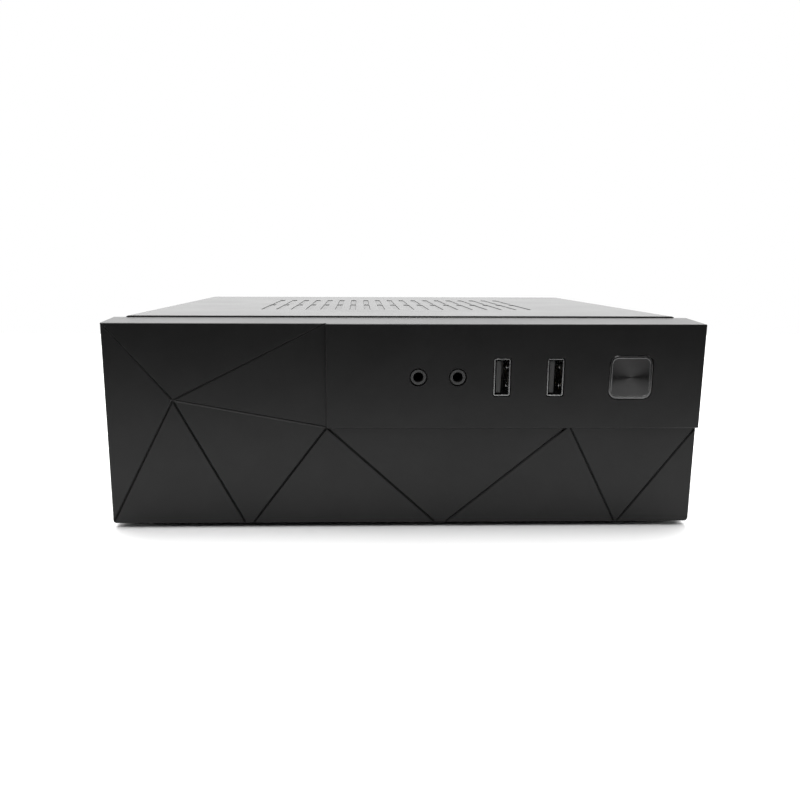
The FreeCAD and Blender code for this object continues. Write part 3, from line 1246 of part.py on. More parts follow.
def drive():
    case = box("drive_case", about("drive_x", "drive_w / 2"), about("drive_y", "drive_long / 2"),
               ("drive_low", "drive_top"))
    places = [(x, y) for x in about("drive_x", "drive_screw_x / 2")
              for y in ("drive_screw_front", "drive_screw_front + drive_screw_y")]
    threads = [rod("drive_thread", "z", x, y, "drive_top - drive_screw_long", "screw_r",
                   "drive_screw_long + through")
               for x, y in places]
    node("solid_state_drive", cut("drive_bored", case, threads))
    node("drive_plug", box("drive_plug_block", about("drive_x", "drive_plug_w / 2"),
                           about("drive_plug_y", "drive_plug_long / 2"),
                           about("drive_plug_z", "drive_plug_thick / 2")))
    plate_z = ("drive_top", "drive_top + sheet")
    tab_x = about("drive_x", "bracket_half")
    walls = (("front_in", "front_in + sheet"), ("rear_in - sheet", "rear_in"))
    sheets = [box("bracket_plate", about("drive_x", "drive_w / 2 + bracket_edge"),
                  ("front_in + bracket_back", "rear_in - bracket_back"), plate_z),
              box("bracket_strip", tab_x, ("front_in", "rear_in"), plate_z)]
    sheets += [box("bracket_tab", tab_x, wall, ("lip_low - bracket_drop", plate_z[1])) for wall in walls]
    bores = [through_wall("bracket_bore", x, wall[0], "bracket_screw_z", "screw_r")
             for x in bracket_screw_places() for wall in walls]
    bores += [rod("drive_bore", "z", x, y, "drive_top - through", "screw_r", "sheet + 2 * through")
              for x, y in places]
    node("drive_bracket", cut("bracket", joined("bracket_blank", sheets), bores))
    node("drive_screws", group("drive_screw_set", [
        pan_screw("drive_screw", "z", x, y, "drive_top + sheet", "screw_r", "drive_screw_long")
        for x, y in places]))
    node("bracket_screws", group("bracket_screw_set", [
        pan_screw("bracket_screw", axis, x, y, "bracket_screw_z", "screw_r", "cover_screw_long")
        for x in bracket_screw_places() for axis, y in (("-y", "wall_front"), ("y", "rear_out"))]))


def leads():
    for name, (x, _) in zip(("front_usb_cable", "front_audio_cable", "switch_lead"), plug_places()):
        tube(name, "lead_r", [(x, "io_back + header_tall", "lead_z"), (x, "plug_y", "lead_z"),
                              (x, "plug_y", "plug_top")])
    tube("drive_cable", "lead_r", [("drive_x", "drive_plug_y - drive_plug_long / 2", "drive_plug_z"),
                                   ("drive_socket_x", "plug_y", "drive_plug_z"),
                                   ("drive_socket_x", "plug_y", "plug_top")])
    tube("fan_lead", "lead_r", [("cooler_x - cooler_w / 2", "cooler_y", "fan_lead_z"),
                                ("fan_plug_x", "cooler_y", "fan_lead_z"),
                                ("fan_plug_x", "cooler_y", "plug_top")])
    tube("dc_lead", "lead_r", [("power_socket_x", "rear_out - inlet_long", "inlet_z"),
                               ("power_socket_x", "power_socket_y", "inlet_z"),
                               ("power_socket_x", "power_socket_y", "board_top + power_socket_tall")])


def check_and_write():
    doc.recompute()
    for item in doc.Objects:
        if "Invalid" in item.State or "Error" in item.State:
            raise RuntimeError(f"{item.Label} failed: {item.State}")
    names = [piece.Label for piece in nodes]
    if len(set(names)) != len(names) or len(names) > MOST_PARTS:
        raise RuntimeError(f"the parts' names must differ, and there may be at most {MOST_PARTS}")
    for piece in nodes:
        if piece.Shape.isNull() or not piece.Shape.isValid():
            raise RuntimeError(f"{piece.Label} has no valid shape")
    os.makedirs("parts", exist_ok=True)
    for piece in nodes:
        piece.Shape.exportStep(f"parts/{piece.Label}.step")
        print(f"{piece.Label}: {len(piece.Shape.Solids)} solid(s), {piece.Shape.Volume:.0f} mm3")
    print(f"{len(nodes)} nodes")


front_bezel()
power_button()
front_board()
front_usb("left", "usb_a_x")
front_usb("right", "usb_b_x")
front_jack("headphone_jack", "jack_a_x")
front_jack("microphone_jack", "jack_b_x")
front_plugs()
chassis()
top_cover()
rubber_feet()
motherboard()
processor()
heatsink()
fan()
cooler_fixings()
memory()
small_board_parts()
rear_sockets()
power_inlet()
drive()
leads()
check_and_write()
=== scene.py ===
import math
import random

import bpy
from mathutils import Matrix, Vector


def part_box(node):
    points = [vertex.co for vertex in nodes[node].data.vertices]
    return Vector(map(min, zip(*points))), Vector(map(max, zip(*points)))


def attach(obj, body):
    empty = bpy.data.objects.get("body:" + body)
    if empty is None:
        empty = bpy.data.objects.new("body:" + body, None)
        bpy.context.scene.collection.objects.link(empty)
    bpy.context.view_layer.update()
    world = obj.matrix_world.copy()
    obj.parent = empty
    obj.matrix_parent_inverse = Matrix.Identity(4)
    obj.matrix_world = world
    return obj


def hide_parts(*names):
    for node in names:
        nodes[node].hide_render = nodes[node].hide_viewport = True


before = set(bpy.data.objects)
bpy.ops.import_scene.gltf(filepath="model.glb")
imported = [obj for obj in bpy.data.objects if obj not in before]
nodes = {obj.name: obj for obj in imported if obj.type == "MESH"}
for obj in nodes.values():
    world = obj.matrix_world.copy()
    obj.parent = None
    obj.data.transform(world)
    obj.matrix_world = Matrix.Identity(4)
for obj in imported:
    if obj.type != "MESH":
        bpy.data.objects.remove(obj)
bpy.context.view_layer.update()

mm = 0.001
dice = random.Random(7)

# ---- view, floor and light

view = {
    "place": (-0.0161, -0.38245, 0.0935),
    "turn": 1.53,  # degrees to the right of straight on
    "dip": 12.31,  # degrees below level
    "roll": 0.21,
    "lens": 36.44,
    "shift": (0.025, 0.053),
}
studio = {
    "floorSize": (1.8, 1.14),
    "floorPlace": (0.0, 0.18, 0.0),
    "floorTone": 0.97,
    # softboxes: name, place, what it points at, size, power
    "softboxes": (("key", (0.0, 0.25, 0.9), (0.0, 0.25, 0.0), 0.8, 14),
                  ("fill", (0.0, -0.85, 0.9), (0.0, -0.25, 0.0), 0.6, 7)),
    "frontGlow": 0.02,  # brightness of the room on the viewer's side
    "backGlow": 1.7,  # and behind the object
    "topGlow": 0.6,
}


def addNode(tree, kind, inputs=None, **settings):
    node = tree.nodes.new("ShaderNode" + kind)
    for key, value in settings.items():
        setattr(node, key, value)
    for key, value in (inputs or {}).items():
        if isinstance(value, bpy.types.NodeSocket):
            tree.links.new(value, node.inputs[key])
        else:
            node.inputs[key].default_value = value
    return node


def mathNode(tree, operation, first, second=0.0, clamp=False):
    return addNode(tree, "Math", {0: first, 1: second}, operation=operation, use_clamp=clamp).outputs[0]


def times(tree, first, second, clamp=False):
    return mathNode(tree, "MULTIPLY", first, second, clamp)


def rangeNode(tree, value, low, high, toLow=0.0, toHigh=1.0, smooth=True):
    inputs = {"Value": value, "From Min": low, "From Max": high, "To Min": toLow, "To Max": toHigh}
    kind = "SMOOTHSTEP" if smooth else "LINEAR"
    return addNode(tree, "MapRange", inputs, interpolation_type=kind).outputs[0]


def mixColour(tree, share, first, second, blend="MIX"):
    inputs = {0: share, 6: first, 7: second}
    return addNode(tree, "Mix", inputs, data_type="RGBA", blend_type=blend).outputs[2]


def addCamera():
    yaw, dip, roll = (math.radians(view[key]) for key in ("turn", "dip", "roll"))
    ahead = Vector((math.sin(yaw) * math.cos(dip), math.cos(yaw) * math.cos(dip), -math.sin(dip)))
    right = Vector((math.cos(yaw), -math.sin(yaw), 0))
    up = right.cross(ahead)
    level = math.cos(roll) * right + math.sin(roll) * up
    upright = math.cos(roll) * up - math.sin(roll) * right
    camera = bpy.data.objects.new("camera", bpy.data.cameras.new("camera"))
    bpy.context.scene.collection.objects.link(camera)
    turn = Matrix((level, upright, -ahead)).transposed()
    camera.matrix_world = Matrix.Translation(view["place"]) @ turn.to_4x4()
    camera.data.lens = view["lens"]
    camera.data.shift_x, camera.data.shift_y = view["shift"]
    camera.data.clip_start = 0.01
    bpy.context.scene.camera = camera


def addRoom():
    scene = bpy.context.scene
    scene.view_settings.view_transform = "Standard"
    scene.world = bpy.data.worlds.new("room")
    scene.world.use_nodes = True
    tree = scene.world.node_tree
    tree.nodes.clear()
    way = addNode(tree, "SeparateXYZ", {0: addNode(tree, "TexCoord").outputs["Generated"]})
    depth = rangeNode(tree, way.outputs["Y"], 0.0, 0.8, studio["frontGlow"], studio["backGlow"])
    height = rangeNode(tree, way.outputs["Z"], 0.25, 0.9)
    glow = mathNode(tree, "ADD", depth, times(tree, height, studio["topGlow"]))
    seen = addNode(tree, "LightPath").outputs["Is Camera Ray"]
    strength = addNode(tree, "Mix", {0: seen, 2: glow, 3: 1.0}, data_type="FLOAT").outputs[0]
    light = addNode(tree, "Background", {"Color": (1, 1, 1, 1), "Strength": strength})
    addNode(tree, "OutputWorld", {0: light.outputs[0]})

    for name, place, target, size, power in studio["softboxes"]:
        light = bpy.data.objects.new(name, bpy.data.lights.new(name, "AREA"))
        scene.collection.objects.link(light)
        light.location = place
        light.rotation_euler = (Vector(target) - Vector(place)).to_track_quat("-Z", "Y").to_euler()
        light.data.size = size
        light.data.energy = power

    bpy.ops.mesh.primitive_plane_add(size=1, location=studio["floorPlace"])
    bpy.context.object.scale = (*studio["floorSize"], 1)
    floor = settle(bpy.context.object, "floor")
    finish = newMaterial("paleFloor")
    tree = finish.node_tree
    cloud = noise(tree, onObject(tree), 5.0)
    tone = studio["floorTone"]
    paper = mixColour(tree, cloud, paint(tone), paint(tone * 0.98))
    addNode(tree, "BsdfPrincipled", {"Base Color": paper, "Roughness": 0.7})
    closeMaterial(finish)
    floor.data.materials.append(finish)


def newMaterial(name):
    material = bpy.data.materials.new(name)
    material.use_nodes = True
    material.node_tree.nodes.clear()
    return material


def closeMaterial(material):
    tree = material.node_tree
    shader = next(node for node in tree.nodes if node.type == "BSDF_PRINCIPLED")
    addNode(tree, "OutputMaterial", {0: shader.outputs[0]})


# ---- effects that several finishes share

def newGroup(name, inputs, outputs):
    tree = bpy.data.node_groups.new(name, "ShaderNodeTree")
    for key, value in inputs.items():
        kind = "NodeSocketVector" if isinstance(value, tuple) else "NodeSocketFloat"
        tree.interface.new_socket(key, in_out="INPUT", socket_type=kind).default_value = value
    for key in outputs:
        kind = "NodeSocketVector" if key == "Normal" else "NodeSocketFloat"
        tree.interface.new_socket(key, in_out="OUTPUT", socket_type=kind)
    return tree, tree.nodes.new("NodeGroupInput"), tree.nodes.new("NodeGroupOutput")


def useGroup(tree, name, **inputs):
    return addNode(tree, "Group", inputs, node_tree=bpy.data.node_groups[name])


def onObject(tree):
    return addNode(tree, "TexCoord").outputs["Object"]


def noise(tree, place, scale, **more):
    return addNode(tree, "TexNoise", {"Vector": place, "Scale": scale, **more}).outputs[0]


def addEffects():
    # smudge: cloudy changes between two values, for gloss
    tree, given, out = newGroup("smudge", {"Scale": 30.0, "Low": 0.4, "High": 0.5}, ["Value"])
    place = onObject(tree)
    cloud = noise(tree, place, given.outputs["Scale"], Detail=5.0, Roughness=0.62)
    value = rangeNode(tree, cloud, 0.3, 0.7, given.outputs["Low"], given.outputs["High"], smooth=False)
    tree.links.new(value, out.inputs[0])

    # grain: the fine pebbled texture of a mould or of powder coating
    tree, given, out = newGroup("grain", {"Scale": 4000.0, "Pebble": 0.5}, ["Height"])
    place = onObject(tree)
    fine = noise(tree, place, given.outputs["Scale"], Detail=2.0)
    cells = addNode(tree, "TexVoronoi", {"Vector": place, "Scale": given.outputs["Scale"]}, feature="SMOOTH_F1")
    height = addNode(tree, "Mix", {0: given.outputs["Pebble"], 2: fine, 3: cells.outputs[0]},
                     data_type="FLOAT")
    tree.links.new(height.outputs[0], out.inputs[0])

    # brushing: long fine lines along one axis, by how much each axis is stretched
    tree, given, out = newGroup("brushing", {"Stretch": (40.0, 4000.0, 4000.0)}, ["Height"])
    place = addNode(tree, "VectorMath", {0: onObject(tree),
                                         1: given.outputs["Stretch"]}, operation="MULTIPLY")
    tree.links.new(noise(tree, place.outputs[0], 1.0, Detail=3.0), out.inputs[0])

    # softEdge: a rounded normal along edges, and a mask of where they are
    tree, given, out = newGroup("softEdge", {"Radius": 0.0002, "Wear": 0.5}, ["Normal", "Mask"])
    rounded = addNode(tree, "Bevel", {"Radius": given.outputs["Radius"]}, samples=6).outputs[0]
    flat = addNode(tree, "NewGeometry").outputs["Normal"]
    alike = addNode(tree, "VectorMath", {0: rounded, 1: flat}, operation="DOT_PRODUCT").outputs["Value"]
    place = onObject(tree)
    chips = noise(tree, place, 350.0, Detail=4.0)
    edge = rangeNode(tree, alike, 0.995, 0.85)
    patchy = times(tree, edge, rangeNode(tree, chips, 0.42, 0.72))
    worn = times(tree, patchy, given.outputs["Wear"], clamp=True)
    tree.links.new(rounded, out.inputs["Normal"])
    tree.links.new(worn, out.inputs["Mask"])

    # dust: a thin film on what faces up
    tree, given, out = newGroup("dust", {"Amount": 0.2}, ["Mask"])
    up = addNode(tree, "SeparateXYZ", {0: addNode(tree, "NewGeometry").outputs["Normal"]}).outputs["Z"]
    place = onObject(tree)
    specks = noise(tree, place, 120.0, Detail=8.0, Roughness=0.75)
    film = times(tree, rangeNode(tree, up, 0.35, 0.95), rangeNode(tree, specks, 0.35, 0.75))
    tree.links.new(times(tree, film, given.outputs["Amount"]), out.inputs[0])
    print("effects: smudge, grain, brushing, softEdge, dust")


# ---- finishes

def paint(tone):
    # a number stands for a plain grey
    return (tone,) * 3 + (1,) if isinstance(tone, float) else (*tone, 1)


mould = dict(slot="dark_plastic", rough=(0.35, 0.5), grain=(3500, 8e-6, 0.4), edge=(0.00015, 0.15), worn=0.05,
             dust=0.04)
metal = dict(slot="bright_steel", metal=1.0, rough=(0.2, 0.34), brush=(60, 3500, 3500, 3e-6), edge=(0.00012, 0.1),
             worn=0.8, dust=0.02)
sleeve = dict(slot="lead_cover", rough=(0.3, 0.42), grain=(2500, 4e-6, 0.3), edge=(0.0001, 0.0), worn=0.1,
              dust=0.03)
lens = dict(mould, slot="white_plastic", rough=(0.08, 0.15))
dustTone = (0.35, 0.33, 0.3)
finishes = {
    # tones: the ground and its mottling; rough: the range of gloss; grain: its count in a metre, height and share
    # of pebbles; brush: its count along each axis and height; edge: its radius and wear
    "bezelPlastic": dict(mould, slot="black_plastic", tones=(0.004, 0.005), ior=1.31, rough=(0.29, 0.34),
        grain=(5200, 8e-6, 0.4), edge=(0.0001, 0.1), dust=0.02),
    "coverPaint": dict(mould, slot="black_paint", tones=(0.012, 0.014), rough=(0.32, 0.36),
        grain=(3200, 2.0e-5, 0.7), edge=(0.0002, 0.3), dust=0.02),
    "trayPaint": dict(mould, slot="black_paint", tones=(0.013, 0.017), rough=(0.4, 0.5),
        grain=(3000, 2.0e-5, 0.7), edge=(0.0002, 0.5), worn=0.12, dust=0.05),
    "ringPlastic": dict(mould, slot="ring_plastic", tones=(0.12, 0.14), rough=(0.12, 0.18),
        grain=(6000, 2e-6, 0.3), edge=(0.00035, 0.0), dust=0.0, metal=0.95),
    "spunMetal": dict(metal, slot="spun_metal", tones=(0.055, 0.063), rough=(0.2, 0.23), dust=0.0,
        brush=(0, 0, 0, 6e-7), spin=(79.4, 0, 55.5), worn=0.12),
    "brightSteel": dict(metal, tones=(0.5, 0.44)),
    "socketSteel": dict(metal, tones=(0.26, 0.22), rough=(0.22, 0.3), edge=(0.00005, 0.0)),
    "blackScrew": dict(metal, slot="black_screw", tones=(0.03, 0.04), rough=(0.28, 0.4), metal=0.8,
        edge=(0.00015, 0.8), worn=0.35),
    "blackMould": dict(mould, tones=(0.014, 0.02)),
    "greyMould": dict(mould, tones=(0.009, 0.012)),
    "plateSteel": dict(metal, tones=(0.36, 0.3), rough=(0.34, 0.46)),
    "chipBlack": dict(mould, tones=(0.018, 0.026), rough=(0.4, 0.55), grain=(6000, 6e-6, 0.3)),
    "greyFerrite": dict(mould, tones=(0.09, 0.13), rough=(0.5, 0.65), grain=(4200, 1.6e-5, 0.3)),
    "tanCeramic": dict(mould, slot="board", tones=((0.33, 0.21, 0.11), (0.26, 0.16, 0.08))),
    "blueMould": dict(mould, tones=((0.02, 0.1, 0.42), (0.025, 0.12, 0.48))),
    "greenMould": dict(mould, tones=((0.07, 0.4, 0.1), (0.08, 0.45, 0.12))),
    "pinkMould": dict(mould, tones=((0.6, 0.12, 0.2), (0.66, 0.15, 0.24))),
    "greenLens": dict(lens, tones=((0.05, 0.3, 0.06), (0.06, 0.36, 0.08))),
    "amberLens": dict(lens, tones=((0.5, 0.2, 0.02), (0.56, 0.24, 0.03))),
    "whiteMould": dict(mould, slot="white_plastic", tones=(0.7, 0.62), worn=0.7, dust=0.0),
    "aluminium": dict(metal, slot="aluminium", tones=(0.45, 0.4), rough=(0.3, 0.45),
        brush=(3000, 50, 3000, 4e-6), edge=(0.00015, 0.2)),
    "canAluminium": dict(metal, slot="aluminium", tones=(0.66, 0.58), rough=(0.22, 0.34),
        brush=(3000, 3000, 60, 2e-6)),
    "brass": dict(metal, slot="brass", tones=((0.62, 0.43, 0.16), (0.5, 0.34, 0.12)), worn=(0.8, 0.6, 0.3)),
    "gilding": dict(metal, slot="brass", tones=((0.78, 0.53, 0.19), (0.7, 0.46, 0.15)), rough=(0.14, 0.25),
        worn=(0.85, 0.65, 0.35)),
    "weave": dict(mould, slot="black_plastic", tones=(0.012, 0.016), rough=(0.34, 0.38), edge=(0.0001, 0.0),
        net=(1100, 9e-6), dust=0.02),
    "rubber": dict(mould, slot="rubber", tones=(0.018, 0.026), rough=(0.65, 0.8), grain=(2600, 2.2e-5, 0.5),
        edge=(0.0002, 0.3), dust=0.12),
    "boardGreen": dict(mould, slot="board", tones=((0.006, 0.035, 0.016), (0.008, 0.045, 0.02)),
        rough=(0.25, 0.36), grain=(1800, 6e-6, 0.2), dust=0.03, tracks=(0.013, 0.075, 0.032)),
    "memoryGreen": dict(mould, slot="board", tones=((0.006, 0.035, 0.016), (0.008, 0.045, 0.02)),
        rough=(0.3, 0.42), grain=(3000, 5e-6, 0.3), chips=((69, 79), 0.65, 0.016)),
    "wireRed": dict(sleeve, tones=((0.42, 0.014, 0.012), (0.36, 0.012, 0.01))),
    "wireBlack": dict(sleeve, tones=(0.014, 0.02)),
    "wireWhite": dict(sleeve, tones=(0.62, 0.55)),
    "wireGreen": dict(sleeve, tones=((0.02, 0.2, 0.04), (0.016, 0.17, 0.035))),
    "wireYellow": dict(sleeve, tones=((0.62, 0.42, 0.03), (0.55, 0.37, 0.025))),
    "wireOrange": dict(sleeve, tones=((0.6, 0.17, 0.015), (0.54, 0.15, 0.012))),
}


def addTracks(tree, colour, look):
    # copper runs under the lacquer, and small tinned holes
    place = onObject(tree)
    cells = addNode(tree, "TexVoronoi", {"Vector": place, "Scale": 62.0}, distance="CHEBYCHEV").outputs[0]
    steps = mathNode(tree, "FRACT", times(tree, cells, 17.0))
    runs = times(tree, rangeNode(tree, steps, 0.5, 0.6), rangeNode(tree, steps, 1.0, 0.92))
    area = noise(tree, place, 48.0)
    runs = times(tree, runs, rangeNode(tree, area, 0.42, 0.47))
    colour = mixColour(tree, runs, colour, paint(look["tracks"]))
    dots = addNode(tree, "TexVoronoi", {"Vector": place, "Scale": 260.0}).outputs[0]
    holes = times(tree, rangeNode(tree, dots, 0.12, 0.08), rangeNode(tree, area, 0.55, 0.5))
    return mixColour(tree, holes, colour, (0.5, 0.5, 0.46, 1)), runs


def addChips(tree, colour, look):
    # the memory's chips stand out on both faces of each module
    modules, clear, black = look["chips"]
    x = addNode(tree, "SeparateXYZ", {0: onObject(tree)}).outputs["X"]
    away = [mathNode(tree, "ABSOLUTE", mathNode(tree, "SUBTRACT", x, centre * mm)) for centre in modules]
    nearest = mathNode(tree, "MINIMUM", *away)
    return mixColour(tree, mathNode(tree, "GREATER_THAN", nearest, clear * mm), colour, paint(black))


def addNet(tree, count):
    # crossed threads with a small hole between them; the holes are painted near-black, as painted shade of the
    # dark space behind the sheet
    way = addNode(tree, "SeparateXYZ", {0: onObject(tree)})
    threads = [mathNode(tree, "PINGPONG", times(tree, way.outputs[axis], count), 1.0)
               for axis in ("X", "Y")]
    return rangeNode(tree, mathNode(tree, "MAXIMUM", *threads), 0.45, 0.8)


def addSpin(tree, look):
    # fine turned rings about one axis, and the way across them
    place = onObject(tree)
    centre = [value * mm for value in look["spin"]]
    out = addNode(tree, "VectorMath", {0: place, 1: centre}, operation="SUBTRACT").outputs[0]
    out = addNode(tree, "VectorMath", {0: out, 1: (1, 0, 1)}, operation="MULTIPLY").outputs[0]
    away = addNode(tree, "VectorMath", {0: out}, operation="LENGTH").outputs["Value"]
    rings = addNode(tree, "TexNoise", {"W": away, "Scale": 3600.0, "Detail": 3.0}, noise_dimensions="1D")
    return rings.outputs[0], addNode(tree, "VectorMath", {0: out}, operation="NORMALIZE").outputs[0]


def makeFinish(name, look):
    material = newMaterial(name)
    tree = material.node_tree
    edge = useGroup(tree, "softEdge", Radius=look["edge"][0], Wear=look["edge"][1])
    place = onObject(tree)
    mottle = rangeNode(tree, noise(tree, place, 90.0, Detail=6.0), 0.35, 0.65)
    colour = mixColour(tree, mottle, *(paint(tone) for tone in look["tones"]))
    shader = addNode(tree, "BsdfPrincipled", {"Metallic": look.get("metal", 0.0), "IOR": look.get("ior", 1.5)})
    if "brush" in look:
        height = useGroup(tree, "brushing", Stretch=look["brush"][:3]).outputs[0]
        depth = look["brush"][3]
    else:
        height = useGroup(tree, "grain", Scale=look["grain"][0], Pebble=look["grain"][2]).outputs[0]
        depth = look["grain"][1]
    if "net" in look:
        height, depth = addNet(tree, look["net"][0]), look["net"][1]
        # painted shade: the holes between the threads are painted near-black
        colour = mixColour(tree, height, (0.004, 0.004, 0.004, 1), colour)
    if "tracks" in look:
        colour, runs = addTracks(tree, colour, look)
        height = mathNode(tree, "ADD", times(tree, height, 0.3), runs)
    if "chips" in look:
        colour = addChips(tree, colour, look)
    if "spin" in look:
        height, across = addSpin(tree, look)
        tree.links.new(across, shader.inputs["Tangent"])
        shader.inputs["Anisotropic"].default_value = 0.97
    colour = mixColour(tree, edge.outputs["Mask"], colour, paint(look["worn"]))
    colour = mixColour(tree, useGroup(tree, "dust", Amount=look["dust"]).outputs[0], colour, paint(dustTone))
    low, high = look["rough"]
    gloss = useGroup(tree, "smudge", Scale=26.0, Low=low, High=high).outputs[0]
    bump = addNode(tree, "Bump", {"Strength": 1.0, "Distance": depth, "Height": height,
                                  "Normal": edge.outputs["Normal"]}).outputs[0]
    for key, value in (("Base Color", colour), ("Roughness", gloss), ("Normal", bump)):
        tree.links.new(value, shader.inputs[key])
    closeMaterial(material)


carried = {
    "bezelPlastic": ["front_bezel"],
    "coverPaint": ["top_cover"],
    "trayPaint": ["chassis"],
    "ringPlastic": ["power_button_cap"],
    "spunMetal": ["power_button_insert"],
    "socketSteel": ["front_usb_shell_left", "front_usb_shell_right"],
    "brightSteel": ["board_screws", "bracket_screws",
                    "cooler_backplate", "cooler_screws", "coin_cell", "dc_inlet_nut", "drive_screws",
                    "front_board_screws", "digital_video_socket", "processor", "rear_network_socket",
                    "rear_usb_stack_left", "rear_usb_stack_right", "analog_video_socket"],
    "plateSteel": ["io_shield"],
    "blackScrew": ["cover_screws"],
    "greyMould": ["front_usb_tongue_left", "front_usb_tongue_right"],
    "blackMould": ["headphone_jack", "microphone_jack", "front_plugs", "board_plugs", "board_power_socket",
                   "coin_cell_holder", "cooler_fan_frame", "cooler_fan_rotor", "cpu_socket", "dc_inlet",
                   "drive_plug", "memory_socket_left", "memory_socket_right", "power_coils", "power_switch",
                   "switch_plunger", "rear_audio_socket"],
    "aluminium": ["chipset_heatsink", "cooler_heatsink", "drive_bracket", "solid_state_drive"],
    "canAluminium": ["capacitors"],
    "brass": ["board_standoffs"],
    "rubber": ["rubber_feet"],
    "boardGreen": ["motherboard", "front_io_board"],
    "memoryGreen": ["memory_module_left", "memory_module_right"],
    "whiteMould": ["power_led"],
    "wireBlack": ["dc_lead", "drive_cable", "fan_lead", "front_audio_cable", "front_usb_cable", "switch_lead"],
}


def paintNodes():
    for name, look in finishes.items():
        makeFinish(name, look)
    for finish, members in carried.items():
        for member in members:
            for place in nodes[member].material_slots:
                place.material = bpy.data.materials[finish]
    print("finishes on", sum(len(members) for members in carried.values()), "carried parts")


# ---- modelling by hand

def hold(piece):
    bpy.ops.object.select_all(action="DESELECT")
    piece.select_set(True)
    bpy.context.view_layer.objects.active = piece
    return piece


def settle(piece, name):
    # its place, turn and size go into its mesh
    hold(piece)
    bpy.ops.object.transform_apply(location=True, rotation=True, scale=True)
    piece.name = name
    return piece


def boxOf(node):
    # a part's lower and upper corners and its middle, in millimetres, as all sizes below are
    low, high = (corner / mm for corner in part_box(node))
    return low, high, (low + high) / 2


def addBlock(name, low, high):
    low, high = Vector(low) * mm, Vector(high) * mm
    bpy.ops.mesh.primitive_cube_add(size=1, location=(low + high) / 2)
    piece = bpy.context.object
    piece.scale = high - low
    return settle(piece, name)


def blockAt(name, place, low, high, across=0):
    # its corners are given from a place, or from a point beside it
    place = Vector(place) + Vector((across, 0, 0))
    return addBlock(name, place + Vector(low), place + Vector(high))


def addBar(name, start, end, radius, sides=40):
    start, end = Vector(start) * mm, Vector(end) * mm
    run = end - start
    turn = run.to_track_quat("Z", "Y").to_euler()
    bpy.ops.mesh.primitive_cylinder_add(vertices=sides, radius=radius * mm, depth=run.length,
                                        location=(start + end) / 2, rotation=turn)
    return settle(bpy.context.object, name)


def facing(*way):
    way = Vector(way)
    return lambda face: face.normal.dot(way) > 0.9


def mode(name):
    bpy.ops.object.mode_set(mode=name)


def pick(piece, kind, test):
    # selects what passes a test, and stays in edit mode
    hold(piece)
    mode("EDIT")
    bpy.ops.mesh.select_mode(type=kind)
    bpy.ops.mesh.select_all(action="DESELECT")
    mode("OBJECT")
    mesh = piece.data
    for part in {"FACE": mesh.polygons, "EDGE": mesh.edges, "VERT": mesh.vertices}[kind]:
        part.select = bool(test(part))
    mode("EDIT")


def press(piece, test, margin, move):
    # insets the chosen faces, then pulls them along
    pick(piece, "FACE", test)
    if margin:
        bpy.ops.mesh.inset(thickness=margin * mm)
    bpy.ops.mesh.extrude_region_move(TRANSFORM_OT_translate={"value": Vector(move) * mm})
    mode("OBJECT")
    return piece


def pressEnd(piece, margin, move):
    return press(piece, facing(0, 1, 0), margin, (0, move, 0))


def pressTop(piece, margin, move):
    return press(piece, facing(0, 0, 1), margin, (0, 0, move))


def taperDown(piece, scale, middle):
    # narrows the lower face
    pick(piece, "FACE", facing(0, 0, -1))
    bpy.ops.transform.resize(value=scale, center_override=tuple(middle * mm))
    mode("OBJECT")


alongY = Vector((0, 1, 0))
alongZ = Vector((0, 0, 1))


def roundAlong(piece, way, radius, steps=3, test=None):
    # rounds the edges that run one way
    def chosen(edge):
        start, end = (piece.data.vertices[index].co for index in edge.vertices)
        along = abs((end - start).normalized().dot(Vector(way))) > 0.9
        return along and (test is None or test((start + end) / 2))

    pick(piece, "EDGE", chosen)
    bpy.ops.mesh.bevel(offset=radius * mm, segments=steps, affect="EDGES")
    mode("OBJECT")
    return piece


def soften(piece, width=0.0, steps=2, angle=38):
    # rounds the sharp edges and shades the rest smooth
    hold(piece)
    if width:
        bevel = piece.modifiers.new("soften", "BEVEL")
        bevel.width = width * mm
        bevel.segments = steps
        bevel.limit_method = "ANGLE"
        bevel.angle_limit = math.radians(angle)
        bpy.ops.object.modifier_apply(modifier="soften")
    bpy.ops.object.shade_smooth_by_angle(angle=math.radians(angle))
    return piece


def cutOut(piece, cutters):
    for cutter in cutters:
        hold(piece)
        cut = piece.modifiers.new("cut", "BOOLEAN")
        cut.operation = "DIFFERENCE"
        cut.solver = "EXACT"
        cut.object = cutter
        bpy.ops.object.modifier_apply(modifier="cut")
        bpy.data.objects.remove(cutter)
    return piece


def repeat(piece, moves):
    copies = []
    for move in moves:
        hold(piece)
        bpy.ops.object.duplicate_move(TRANSFORM_OT_translate={"value": Vector(move) * mm})
        copies.append(settle(bpy.context.object, piece.name))
    return copies


def joinAll(name, members):
    hold(members[0])
    for member in members:
        member.select_set(True)
    bpy.ops.object.join()
    members[0].name = name
    return members[0]


def finishPiece(piece, finish, body="base", stands=()):
    piece.data.materials.clear()
    piece.data.materials.append(bpy.data.materials[finish])
    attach(piece, body)
    if stands:
        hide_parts(*stands)
    return piece


def finishAll(name, members, finish, body="base", stands=()):
    return finishPiece(joinAll(name, members), finish, body, stands)


# ---- front sockets

frontUsb = {
    "face": 2.6,  # the tongue's face towards the plug, from the shell's left side
    "contacts": (-3.5, -1.0, 1.0, 3.5),  # from the middle, up
    "contact": ((-0.1, 1.9, -0.45), (0.02, 9.9, 0.45)),  # corners, from that face and the mouth
    "contactTop": (0.12, 0.15),  # rim and height
    "wall": 0.4,
    "springs": (-3.275, 3.275),
    "spring": ((0, 9.3, -0.65), (0.25, 9.7, 0.65)),
    "springSteps": ((-0.45, -2.0), (-0.35, -1.5), (0.5, -1.6)),  # towards the plug, and to the front
}


